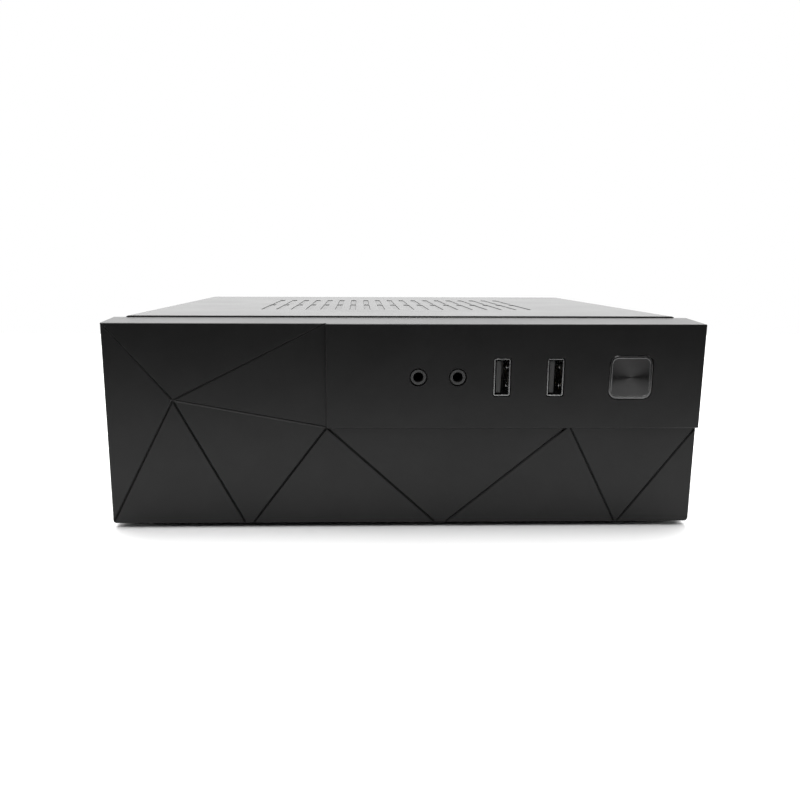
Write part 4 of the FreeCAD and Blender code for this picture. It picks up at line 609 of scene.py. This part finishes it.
def makeFrontUsb(side):
    look = frontUsb
    low, high, middle = boxOf("front_usb_shell_" + side)
    contacts, springs = [], []
    rim, rise = look["contactTop"]
    for up in look["contacts"]:
        strip = blockAt("strip", (low.x + look["face"], low.y, middle.z + up), *look["contact"])
        press(strip, facing(1, 0, 0), rim, (rise, 0, 0))
        contacts.append(soften(strip, 0.04))
    finishAll("front_usb_contacts_" + side, contacts, "gilding")
    for up in look["springs"]:
        leaf = blockAt("leaf", (high.x - look["wall"], low.y, middle.z + up), *look["spring"])
        for inward, ahead in look["springSteps"]:
            nearest = min(face.center.y for face in leaf.data.polygons)
            press(leaf, lambda face: abs(face.center.y - nearest) < 1e-6, 0, (inward, ahead, 0))
        springs.append(soften(leaf, 0.05, angle=50))
    finishAll("front_usb_springs_" + side, springs, "brightSteel")


# ---- rear sockets

rearWall = boxOf("chassis")[1].y  # its outer face

analogVideo = {
    "bodyRim": (0.6, 0.8),  # how far the body lies inside the flange, at its ends and its top
    "bodyHollow": (1.0, 0.6),  # rim and depth
    "flange": (0.4, 0.7),  # in front of the wall's face and behind it
    "flangeRound": 1.6,
    "shell": (8.45, 4.1),  # half-width and half-height
    "shellRound": 1.9,
    "shellWall": 0.4,
    "shellDeep": 2.4,
    "taper": (0.9, 1, 1),
    "posts": (-12.5, 12.5),
    "postR": 2.4,
    "postBore": (0.75, -1.9),  # rim and depth
    "insert": (7.75, 3.4),
    "insertRound": 1.4,
    "insertDrop": 0.7,  # below the shell's end
    "pitch": (2.29, 1.98),  # from pin to pin and from row to row
    "pinR": 0.48,
    "pinDeep": 2.2,
}


def makeAnalogVideo():
    look = analogVideo
    low, high, mid = boxOf("analog_video_socket")
    front, back = rearWall - look["flange"][0], rearWall + look["flange"][1]
    side, top = look["bodyRim"]
    body = addBlock("analog_video_body", (low.x + side, low.y, low.z), (high.x - side, front, high.z - top))
    rim, deep = look["bodyHollow"]
    press(body, facing(0, -1, 0), rim, (0, deep, 0))
    finishPiece(soften(body, 0.2), "blackMould", stands=["analog_video_socket"])

    plate = addBlock("plate", (low.x, front, low.z), (high.x, back, high.z))
    soften(roundAlong(plate, alongY, look["flangeRound"]), 0.12)
    root = Vector((mid.x, back, mid.z))
    long = high.y - back
    wide, tall = look["shell"]
    shell = blockAt("shell", root, (-wide, -0.1, -tall), (wide, long, tall))
    taperDown(shell, look["taper"], mid)
    roundAlong(shell, alongY, look["shellRound"], 5)
    pressEnd(shell, look["shellWall"], -look["shellDeep"])
    members = [plate, soften(shell, 0.06)]
    for across in look["posts"]:
        x = mid.x + across
        post = addBar("post", (x, back - 0.1, mid.z), (x, high.y, mid.z), look["postR"], sides=6)
        pressEnd(post, *look["postBore"])
        members.append(soften(post, 0.14))
    finishAll("analog_video_shell", members, "brightSteel")

    wide, tall = look["insert"]
    insert = blockAt("analog_video_insert", root, (-wide, -0.05, -tall), (wide, long - look["insertDrop"], tall))
    taperDown(insert, look["taper"], mid)
    roundAlong(insert, alongY, look["insertRound"], 4)
    holes = []
    for row in (-1, 0, 1):
        for column in range(-2, 3):
            x = mid.x + (column + row * 0.5) * look["pitch"][0]
            z = mid.z + row * look["pitch"][1]
            holes.append(addBar("hole", (x, high.y - look["pinDeep"], z), (x, high.y, z), look["pinR"], sides=12))
    cutOut(insert, [joinAll("holes", holes)])
    finishPiece(soften(insert, angle=30), "blueMould")


digitalVideo = {
    "lowRound": 1.5,
    "topRound": 0.4,
    "wall": 0.45,
    "deep": 9.0,
    "tongue": ((-5.4, -9.0, -0.1), (5.4, -1.3, 1.1)),  # corners, from the middle of the mouth
    "tongueTip": (0.25, 0.3),  # rim and length
    "pin": ((-0.2, -8.5, -0.2), (0.2, -1.7, -0.08)),
    "pins": range(-4, 5),
    "pitch": 1.1,
}


def makeDigitalVideo():
    look = digitalVideo
    low, high, mid = boxOf("digital_video_socket")
    shell = addBlock("digital_video_shell", low, high)
    roundAlong(shell, alongY, look["lowRound"], 2, lambda place: place.z < mid.z * mm)
    roundAlong(shell, alongY, look["topRound"], 2, lambda place: place.z > mid.z * mm)
    pressEnd(shell, look["wall"], -look["deep"])
    finishPiece(soften(shell, 0.08), "brightSteel", stands=["digital_video_socket"])
    mouth = Vector((mid.x, high.y, mid.z))
    tongue = blockAt("digital_video_tongue", mouth, *look["tongue"])
    pressEnd(tongue, *look["tongueTip"])
    finishPiece(soften(tongue, 0.1), "blackMould")
    pins = [soften(blockAt("pin", mouth, *look["pin"], index * look["pitch"]), 0.04)
            for index in look["pins"]]
    finishAll("digital_video_contacts", pins, "gilding")


rearUsb = {
    "gap": 0.15,  # between the ports
    "round": 0.5,
    "rim": 0.55,
    "deep": 8.5,
    "leaves": (-3.1, 3.1),
    "leaf": ((-1.1, -6.5, -0.62), (1.1, -1.0, -0.5)),  # corners, from the top of the mouth
    "leafPress": (0, 0.4, -0.4),
    "drop": 2.35,  # from the port's top to the tongue's middle
    "tongue": ((-5.6, -8.5, -0.95), (5.6, -1.4, 0.95)),
    "tongueTip": (0.3, 0.35),
    "contacts": (-3.5, -1, 1, 3.5),
    "contact": ((-0.5, -7.8, -1.07), (0.5, -2.0, -0.9)),
}


def makeRearUsb(side):
    look = rearUsb
    node = "rear_usb_stack_" + side
    low, high, mid = boxOf(node)
    half = (high.z - low.z) / 2
    shells, tongues, contacts = [], [], []
    for floor in (low.z, low.z + half):
        top = Vector((mid.x, high.y, floor + half - look["gap"]))
        port = addBlock("port", (low.x, low.y, floor), (high.x, high.y, top.z))
        roundAlong(port, alongY, look["round"])
        pressEnd(port, look["rim"], -look["deep"])
        for across in look["leaves"]:
            leaf = blockAt("leaf", top, *look["leaf"], across)
            press(leaf, facing(0, 0, -1), 0.5, look["leafPress"])
            shells.append(soften(leaf, 0.05))
        shells.append(soften(port, 0.1))
        middle = top - Vector((0, 0, look["drop"]))
        tongue = blockAt("tongue", middle, *look["tongue"])
        pressEnd(tongue, *look["tongueTip"])
        tongues.append(soften(tongue, 0.1))
        for across in look["contacts"]:
            contacts.append(soften(blockAt("pin", middle, *look["contact"], across), 0.05))
    finishAll(node + "_shell", shells, "brightSteel", stands=[node])
    finishAll(node + "_tongues", tongues, "blackMould")
    finishAll(node + "_contacts", contacts, "gilding")


network = {
    "foot": 2.2,  # of the mouth, above the shell's
    "deep": 11.0,
    # the mouth and the two steps for a latch: half-width, bottom and top above the foot
    "cuts": ((5.9, 0, 8.2), (3.1, 8.0, 9.5), (1.6, -1.2, 0.1)),
    "lights": (("greenLens", -5.6), ("amberLens", 5.6)),
    "lightSeat": ((-1.7, -1.5, -2.7), (1.7, 1.0, -0.8)),  # corners, from the shell's upper edge
    "light": ((-1.6, -1.5, -2.65), (1.6, -0.25, -0.85)),
    "liner": ((-5.9, -11.5, 0), (5.9, -0.5, 8.2)),
    "linerWall": 0.35,
    "linerDeep": 10.0,
    "wires": 8,
    "pitch": 1.02,
    "wire": ((-0.2, -10.7, 7.2), (0.2, -9.9, 7.5)),
    "bends": ((0, 4.5, -1.6), (0, 2.2, 1.2)),
}


def makeNetwork():
    look = network
    low, high, mid = boxOf("rear_network_socket")
    foot = Vector((mid.x, high.y, low.z + look["foot"]))
    edge = Vector((mid.x, high.y, high.z))
    shell = roundAlong(addBlock("network_shell", low, high), alongY, 0.4)
    cutters = [blockAt("cutter", foot, (-half, -look["deep"], bottom), (half, 1, top))
               for half, bottom, top in look["cuts"]]
    for finish, across in look["lights"]:
        cutters.append(blockAt("cutter", edge, *look["lightSeat"], across))
    cutOut(shell, cutters)
    finishPiece(soften(shell, 0.08), "brightSteel", stands=["rear_network_socket"])
    liner = blockAt("network_liner", foot, *look["liner"])
    pressEnd(liner, look["linerWall"], -look["linerDeep"])
    finishPiece(soften(liner, 0.06), "blackMould")
    wires = []
    for index in range(look["wires"]):
        across = (index - (look["wires"] - 1) / 2) * look["pitch"]
        wire = blockAt("wire", foot, *look["wire"], across)
        for bend in look["bends"]:
            press(wire, facing(0, 1, 0), 0, bend)
        wires.append(soften(wire, 0.04))
    finishAll("network_contacts", wires, "gilding")
    for finish, across in look["lights"]:
        lens = blockAt("network_light_" + finish[:5], edge, *look["light"], across)
        pressEnd(lens, 0.25, 0.2)
        finishPiece(soften(lens, 0.08), finish)


audio = {
    "holes": (("blueMould", -8.8), ("greenMould", 0), ("pinkMould", 8.8)),
    "half": 4.3,  # half the width of one housing
    "flange": 0.6,  # behind the wall
    "relief": (1.2, -0.4),  # rim and depth of the hollow on top
    "seatR": 3.0,
    "ringR": 2.98,
    "bore": 1.8,
    "deep": 9.0,
}


def makeAudio():
    look = audio
    low, high, mid = boxOf("rear_audio_socket")
    root = rearWall - look["deep"]
    blocks = []
    for finish, across in look["holes"]:
        x = mid.x + across
        block = addBlock("block", (x - look["half"], low.y, low.z),
                         (x + look["half"], rearWall + look["flange"], high.z))
        roundAlong(block, alongY, 0.5)
        pressTop(block, *look["relief"])
        seat = addBar("seat", (x, root, mid.z), (x, rearWall + 2, mid.z), look["seatR"])
        blocks.append(soften(cutOut(block, [seat]), 0.12))
        ring = addBar("audio_ring_" + finish[:4], (x, root, mid.z), (x, high.y, mid.z), look["ringR"], 48)
        pressEnd(ring, look["ringR"] - look["bore"], -look["deep"])
        finishPiece(soften(ring, 0.18, 3), finish)
    finishAll("audio_housings", blocks, "blackMould", stands=["rear_audio_socket"])


inlet = {
    # ends from the rear wall's face, radius and sides; rim and depth of what is pressed; softened width
    "dc_inlet_pin": ((-10.1, 0.1), (1.06, 24), (0.35, 0.25), 0.2),
    "dc_inlet_collar": ((-9.5, 1.2), (2.88, 40), (0.22, -10.6), 0),
}


def makeInlet():
    mid = boxOf("dc_inlet")[2]
    for name, (ends, shape, hollow, width) in inlet.items():
        start, end = ((mid.x, rearWall + end, mid.z) for end in ends)
        bar = addBar(name, start, end, *shape)
        pressEnd(bar, *hollow)
        finishPiece(soften(bar, width, 3), "brightSteel")


ribs = {
    "places": ((-58, 15), (-20, 14), (24, 18), (62, 12)),  # middle and half-length
    "rows": (3.2, 6.4, 9.6),  # above the tall sockets
    "tall": 1.4,
    "round": 0.65,
    "rim": 0.35,
    "raised": 0.3,
}


def makeShieldRibs():
    # stamped stiffening ribs in the socket plate
    look = ribs
    base = boxOf("rear_usb_stack_left")[1].z
    members = []
    for x, half in look["places"]:
        for up in look["rows"]:
            rib = blockAt("rib", (x, rearWall, base + up), (-half, -0.3, 0), (half, 0.05, look["tall"]))
            roundAlong(rib, alongY, look["round"], 4)
            pressEnd(rib, look["rim"], look["raised"])
            members.append(soften(rib, 0.1))
    finishAll("io_shield_ribs", members, "plateSteel")


# ---- filter, feet, fan and board

ventFilter = {
    "past": 5.0,  # how far the sheet reaches past the slots
    "thick": 0.14,
    "corner": 3.0,
    "under": 0.82,  # the sheet's upper face, below the cover's top
    "columns": range(-9, 10),
    "pitch": 6.2,
    "rows": (61.0, 109.5),  # each row's start behind the bezel's face
    "long": 44.0,
    "wide": 2.6,
    "clear": 0.12,  # between a pad and its slot's walls
    "sunk": 0.28,  # the pads' tops, below the cover's top
}


def makeFilter():
    # a woven sheet under the cover, pressed up into its slots, which slides with it
    look = ventFilter
    top = boxOf("top_cover")[1].z
    under = top - look["under"]
    half = look["pitch"] * max(look["columns"]) + look["past"]
    face = boxOf("front_bezel")[0].y + 2.5  # the bezel's front, behind its raised block's
    start, end = look["rows"][0] - look["past"], look["rows"][1] + look["long"] + look["past"]
    sheet = addBlock("sheet", (-half, face + start, under - look["thick"]), (half, face + end, under))
    roundAlong(sheet, alongZ, look["corner"], 5)
    press(sheet, facing(0, 0, -1), 2.0, (0, 0, 0.05))
    clear, half = look["clear"], look["wide"] / 2 - look["clear"]
    pads = []
    for start in look["rows"]:
        for column in look["columns"]:
            pad = blockAt("pad", (column * look["pitch"], face + start, 0), (-half, clear, under - 0.05),
                          (half, look["long"] - clear, top - look["sunk"]))
            pads.append(roundAlong(pad, alongZ, half * 0.9, 4))
    finishPiece(soften(joinAll("vent_filter", [sheet, *pads])), "weave", "cover")


feet = {"r": 8.0, "taper": (0.9, 0.9, 1), "dish": 3.4, "deep": 0.9, "round": 0.5}


def makeFeet():
    look = feet
    low, high = boxOf("rubber_feet")[:2]
    members = []
    for x in (low.x + look["r"], high.x - look["r"]):
        for y in (low.y + look["r"], high.y - look["r"]):
            foot = addBar("foot", (x, y, low.z), (x, y, high.z), look["r"], 56)
            taperDown(foot, look["taper"], Vector((x, y, low.z)))
            soften(foot, look["round"], 3)
            press(foot, lambda face: face.normal.z < -0.99 and face.area > 4e-5, look["dish"],
                  (0, 0, look["deep"]))
            members.append(soften(foot, 0.15))
    finishAll("feet", members, "rubber", stands=["rubber_feet"])


fan = {
    "hubR": 14.0,
    "cupTall": 10.2,
    "cupWall": 1.4,
    "cupDeep": 8.6,
    "discR": 11.2,
    "shaftR": 1.5,
    "bladeR": 37.0,
    "chord": (13.5, 18.0),  # at the hub and at the tip
    "pitch": (40, 26),  # degrees, at the hub and at the tip
    "camber": 0.9,
    "sweep": 5.0,
    "thick": 1.2,
    "blades": 7,
    "stations": 8,
    "rows": 5,
}


def makeBlade():
    # a slab one metre deep is cut into a grid, bowed, then narrowed, turned and swept at each station
    stations, rows = fan["stations"], fan["rows"]
    inner, outer = (fan["hubR"] - 1.0) * mm, fan["bladeR"] * mm
    half = fan["thick"] / 2
    blade = hold(addBlock("blade", (inner / mm, -500, -half), (outer / mm, 500, half)))
    mode("EDIT")
    cuts = [((inner + (outer - inner) * station / stations, 0, 0), (1, 0, 0)) for station in range(1, stations)]
    cuts += [((0, row / rows - 0.5, 0), (0, 1, 0)) for row in range(1, rows)]
    for place, across in cuts:
        bpy.ops.mesh.select_all(action="SELECT")
        bpy.ops.mesh.bisect(plane_co=place, plane_no=across)
    mode("OBJECT")
    for row in range(rows + 1):
        y = row / rows - 0.5
        pick(blade, "VERT", lambda point: abs(point.co.y - y) < 1e-4)
        bpy.ops.transform.translate(value=(0, 0, fan["camber"] * mm * (1 - 4 * y * y)))
        mode("OBJECT")
    for station in range(stations + 1):
        share = station / stations
        x = inner + (outer - inner) * share
        chord, pitch = (start + (end - start) * share for start, end in (fan["chord"], fan["pitch"]))
        pick(blade, "VERT", lambda point: abs(point.co.x - x) < 1e-5)
        bpy.ops.transform.resize(value=(1, chord * mm, 1), center_override=(x, 0, 0))
        bpy.ops.transform.rotate(value=math.radians(pitch), orient_axis="X", center_override=(x, 0, 0))
        bpy.ops.transform.translate(value=(0, -fan["sweep"] * mm * share ** 2, 0))
        mode("OBJECT")
    return soften(blade, 0.25, angle=50)


def makeFan():
    hub = boxOf("cooler_fan_frame")[2]
    low, high, mid = boxOf("cooler_fan_rotor")

    def turned(name, start, end, radius, sides):
        return addBar(name, (hub.x, hub.y, start), (hub.x, hub.y, end), radius, sides)

    cup = turned("cup", high.z - fan["cupTall"], high.z, fan["hubR"], 64)
    press(cup, facing(0, 0, -1), fan["cupWall"], (0, 0, fan["cupDeep"]))
    soften(cup, 0.5, 4)
    disc = turned("fan_disc", high.z - 0.2, high.z + 0.1, fan["discR"], 64)
    pressTop(disc, 0.9, -0.06)
    finishPiece(soften(disc, 0.03), "brightSteel", "fan")
    shaft = turned("shaft", low.z, high.z - 1.0, fan["shaftR"], 24)
    blades = [makeBlade()]
    for index in range(1, fan["blades"]):
        hold(blades[0])
        bpy.ops.object.duplicate()
        bpy.context.object.rotation_euler.z = 2 * math.pi * index / fan["blades"]
        blades.append(settle(bpy.context.object, "blade"))
    for blade in blades:
        blade.location = Vector((hub.x, hub.y, mid.z - 0.6)) * mm
        settle(blade, "blade")
    finishAll("fan_rotor", [cup, shaft, *blades], "blackMould", "fan", stands=["cooler_fan_rotor"])


cans = {
    "r": 3.2,
    "places": ((0, 0), (0, 1), (1, 1), (1, 2), (2, 2), (2, 3)),  # steps to the right, and to the front
    "step": (12.0, 9.0),
    "lift": 0.6,
    "rim": 0.35,
    "dent": 0.12,
    "baseTall": 0.9,
}


def makeCapacitors():
    look = cans
    low, high = boxOf("capacitors")[:2]
    r = look["r"]
    tops, bases = [], []
    for column, line in look["places"]:
        x, y = low.x + r + column * look["step"][0], high.y - r - line * look["step"][1]
        can = addBar("can", (x, y, low.z + look["lift"]), (x, y, high.z), r)
        soften(can, 0.35, 3)
        tops.append(press(can, lambda face: face.normal.z > 0.99, look["rim"], (0, 0, -look["dent"])))
        base = blockAt("base", (x, y, low.z), (-r, -r, 0), (r, r, look["baseTall"]))
        bases.append(soften(roundAlong(base, alongZ, 1.0, 2), 0.12))
    finishAll("capacitor_cans", tops, "canAluminium", stands=["capacitors"])
    finishAll("capacitor_bases", bases, "blackMould")


def makeCoils():
    look = {"count": 5, "round": 0.9, "rim": 1.3, "deep": 0.25}
    low, high, mid = boxOf("power_coils")
    half = mid.y - low.y
    step = (high.x - low.x - 2 * half) / (look["count"] - 1)
    coils = []
    for index in range(look["count"]):
        x = low.x + half + index * step
        coil = addBlock("coil", (x - half, low.y, low.z), (x + half, high.y, high.z))
        roundAlong(coil, alongZ, look["round"])
        pressTop(coil, look["rim"], -look["deep"])
        coils.append(soften(coil, 0.2))
    finishAll("power_coil_blocks", coils, "greyFerrite", stands=["power_coils"])


board = {
    "large": ("cpu_socket", "memory_socket_left", "memory_socket_right", "chipset_heatsink", "coin_cell_holder",
              "board_power_socket", "capacitors", "power_coils", "analog_video_socket", "digital_video_socket",
              "rear_usb_stack_left", "rear_usb_stack_right", "rear_network_socket", "rear_audio_socket",
              "board_plugs"),
    "screws": ((-78.74, -67.8), (-78.74, 87.14), (78.74, -67.8), (78.74, 87.14)),
    "screwRoom": 5.5,
    "edgeRoom": 1.5,
    "room": 0.7,
    "card": (-68, 14, 3.7, 44.5, 11),  # middle, half-width, half-length and height of the card slot
    "ports": ((-4, 14), (13, 14)),  # x, and how far from the board's front edge
    "port": (7, 4, 6),
    "chips": ((-20, 78, 4.5), (38, 74, 4), (62, 72, 3.5), (-72, 76, 4), (-36, -38, 5), (-6, -44, 3.5),
              (44, -46, 4.5), (58, -54, 3), (-28, 54, 3.5), (-46, -16, 3.5), (-40, 44, 3)),
    "chipTall": (0.12, 1.15),
    "legPitch": 0.62,
    "legShare": 0.86,  # of a chip's side that its legs take up
    "small": {"tanCeramic": (1.6, 0.9, 0.8), "chipBlack": (1.8, 1.0, 0.5)},
    "tries": 150,
    "smallPitch": 1.7,
}
taken = []  # areas of the board that are full: lower and upper corners


def claim(x, y, halfX, halfY):
    taken.append((Vector((x - halfX, y - halfY, 0)), Vector((x + halfX, y + halfY, 0))))


def isFree(x, y, half):
    low, high = boxOf("motherboard")[:2]
    if min(x - half - low.x, high.x - x - half, y - half - low.y, high.y - y - half) < board["edgeRoom"]:
        return False
    if any(math.dist((x, y), screw) < board["screwRoom"] + half for screw in board["screws"]):
        return False
    reach = half + board["room"]
    return not any(a.x < x + reach and x - reach < b.x and a.y < y + reach and y - reach < b.y for a, b in taken)


def makeSlots(low, top):
    x, y, wide, long, tall = board["card"]
    slot = blockAt("slot", (x, y, top), (-wide, -long, 0), (wide, long, tall))
    claim(x, y, wide, long)
    roundAlong(slot, alongZ, 0.8)
    pressTop(slot, 2.9, -7.5)
    slots = [soften(slot, 0.12)]
    wide, long, tall = board["port"]
    for x, back in board["ports"]:
        y = low.y + back
        port = blockAt("port", (x, y, top), (-wide, -long, 0), (wide, long, tall))
        claim(x, y, wide, long)
        pressTop(port, 1.4, -4.5)
        slots.append(soften(port, 0.15))
    finishAll("board_slots", slots, "blackMould")


def makeChips(top):
    # flat chips, each with legs on its four sides
    chips, legs = [], []
    under, over = board["chipTall"]
    pitch, share = board["legPitch"], board["legShare"]
    for x, y, half in board["chips"]:
        if not isFree(x, y, half + 1):
            continue
        claim(x, y, half + 1, half + 1)
        chip = blockAt("chip", (x, y, top), (-half, -half, under), (half, half, over))
        chips.append(soften(roundAlong(chip, alongZ, 0.25, 1), 0.1, 1))
        leg = blockAt("leg", (x - half, y - half * share, top), (-0.75, 0, 0), (0.1, 0.26, 0.3))
        press(leg, facing(1, 0, 0), 0, (0.1, 0, 0.25))
        count = int(half * 2 * share / pitch)
        side = joinAll("side", [leg, *repeat(leg, [(0, step * pitch, 0) for step in range(1, count)])])
        legs.append(side)
        middle = Matrix.Translation(Vector((x, y, 0)) * mm)
        for quarter in (1, 2, 3):
            hold(side)
            bpy.ops.object.duplicate()
            legs.append(bpy.context.object)
            legs[-1].data.transform(middle @ Matrix.Rotation(quarter * math.pi / 2, 4, "Z") @ middle.inverted())
    finishAll("board_chips", chips, "chipBlack")
    finishAll("board_chip_leads", legs, "brightSteel")
    return len(chips)


def makeSmallParts(low, high, top):
    # resistors and small capacitors, in short rows
    kinds, starters = {}, {}
    for kind, (long, wide, tall) in board["small"].items():
        starter = addBlock("chip", (-long / 2, -wide / 2, 0), (long / 2, wide / 2, tall))
        starters[kind] = roundAlong(starter, (1, 0, 0), 0.1, 1)
        kinds[kind] = []
    for _ in range(board["tries"]):
        kind = dice.choice(list(kinds))
        along = dice.random() < 0.5
        x = dice.uniform(low.x + 3, high.x - 3)
        y = dice.uniform(low.y + 3, high.y - 3)
        turn = Matrix.Rotation(0 if along else math.pi / 2, 4, "Z")
        for step in range(dice.randint(2, 5)):
            away = step * board["smallPitch"]
            place = Vector((x, y + away, top) if along else (x + away, y, top))
            if not isFree(place.x, place.y, 1.2):
                break
            piece = starters[kind].copy()
            piece.data = starters[kind].data.copy()
            bpy.context.collection.objects.link(piece)
            piece.data.transform(Matrix.Translation(place * mm) @ turn)
            kinds[kind].append(piece)
        claim(x, y, 1.6, 1.6)
    for kind, members in kinds.items():
        finishAll("small_parts_" + kind, members, kind)
        bpy.data.objects.remove(starters[kind])
    return sum(len(members) for members in kinds.values())


def makeBoardParts():
    # small parts soldered to the board's upper face, round the larger ones
    low, high = boxOf("motherboard")[:2]
    taken.extend(boxOf(node)[:2] for node in board["large"])
    makeSlots(low, high.z)
    chips = makeChips(high.z)
    print("board:", chips, "chips,", makeSmallParts(low, high, high.z), "small parts")


# ---- leads

leads = {
    # the colours of each lead's wires
    "front_usb_cable": ("wireRed", "wireWhite", "wireGreen", "wireBlack"),
    "front_audio_cable": ("wireBlack", "wireYellow", "wireWhite"),
    "switch_lead": ("wireOrange", "wireWhite"),
    "drive_cable": ("wireBlack", "wireRed", "wireYellow"),
    "fan_lead": ("wireBlack", "wireYellow", "wireGreen"),
    "dc_lead": ("wireRed", "wireBlack"),
}
lead = {"r": 1.5, "wireR": 0.5, "ring": 0.82, "pair": 0.62, "twist": 70}  # twist in degrees a step


def leadPoints(node):
    # a lead leaves its socket level, and turns down once to its plug
    low, high, mid = boxOf(node)
    r = lead["r"]
    if node == "fan_lead":
        start, corner = (high.x, mid.y), (low.x + r, mid.y)
    elif node in ("dc_lead", "drive_cable"):
        start, corner = (mid.x, high.y), (mid.x, low.y + r)
    else:
        start, corner = (mid.x, low.y), (mid.x, high.y - r)
    end = Vector((*corner, low.z))
    start, corner = Vector((*start, high.z - r)), Vector((*corner, high.z - r))
    points = [start, start.lerp(corner, 0.35), start.lerp(corner, 0.7), corner, corner.lerp(end, 0.3),
              corner.lerp(end, 0.65), end]
    return points, (start - corner).normalized(), (end - corner).normalized()


def makeWire(name, places):
    line = bpy.data.curves.new(name, "CURVE")
    line.dimensions = "3D"
    spline = line.splines.new("NURBS")
    spline.points.add(len(places) - 1)
    for point, place in zip(spline.points, places):
        point.co = (*(place * mm), 1)
    spline.order_u = 3
    spline.use_endpoint_u = True
    line.bevel_depth = lead["wireR"] * mm
    line.bevel_resolution = 3
    line.use_fill_caps = True
    line.resolution_u = 8
    wire = bpy.data.objects.new(name + "_wire", line)
    bpy.context.scene.collection.objects.link(wire)
    hold(wire)
    bpy.ops.object.convert(target="MESH")
    return bpy.context.object


def makeLeads():
    for node, colours in leads.items():
        points, back, down = leadPoints(node)
        side = back.cross(down)
        spread = lead["ring"] * (1 if len(colours) > 2 else lead["pair"])
        wires = []
        for index, finish in enumerate(colours):
            places = []
            for step, place in enumerate(points):
                lift = down if step < 3 else (back + down).normalized() if step == 3 else back
                angle = 2 * math.pi * index / len(colours) + math.radians(lead["twist"]) * step
                places.append(place + spread * (math.cos(angle) * side + math.sin(angle) * lift))
            wire = makeWire(node, places)
            wire.data.materials.clear()
            wire.data.materials.append(bpy.data.materials[finish])
            wires.append(wire)
        bundle = joinAll(node + "_wires", wires)
        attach(bundle, "base")
        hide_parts(node)


addCamera()
addEffects()
addRoom()
paintNodes()
for side in ("left", "right"):
    makeFrontUsb(side)
    makeRearUsb(side)
makeAnalogVideo()
makeDigitalVideo()
makeNetwork()
makeAudio()
makeInlet()
makeShieldRibs()
print("sockets done")
makeFilter()
makeFeet()
makeFan()
makeCapacitors()
makeCoils()
makeBoardParts()
makeLeads()
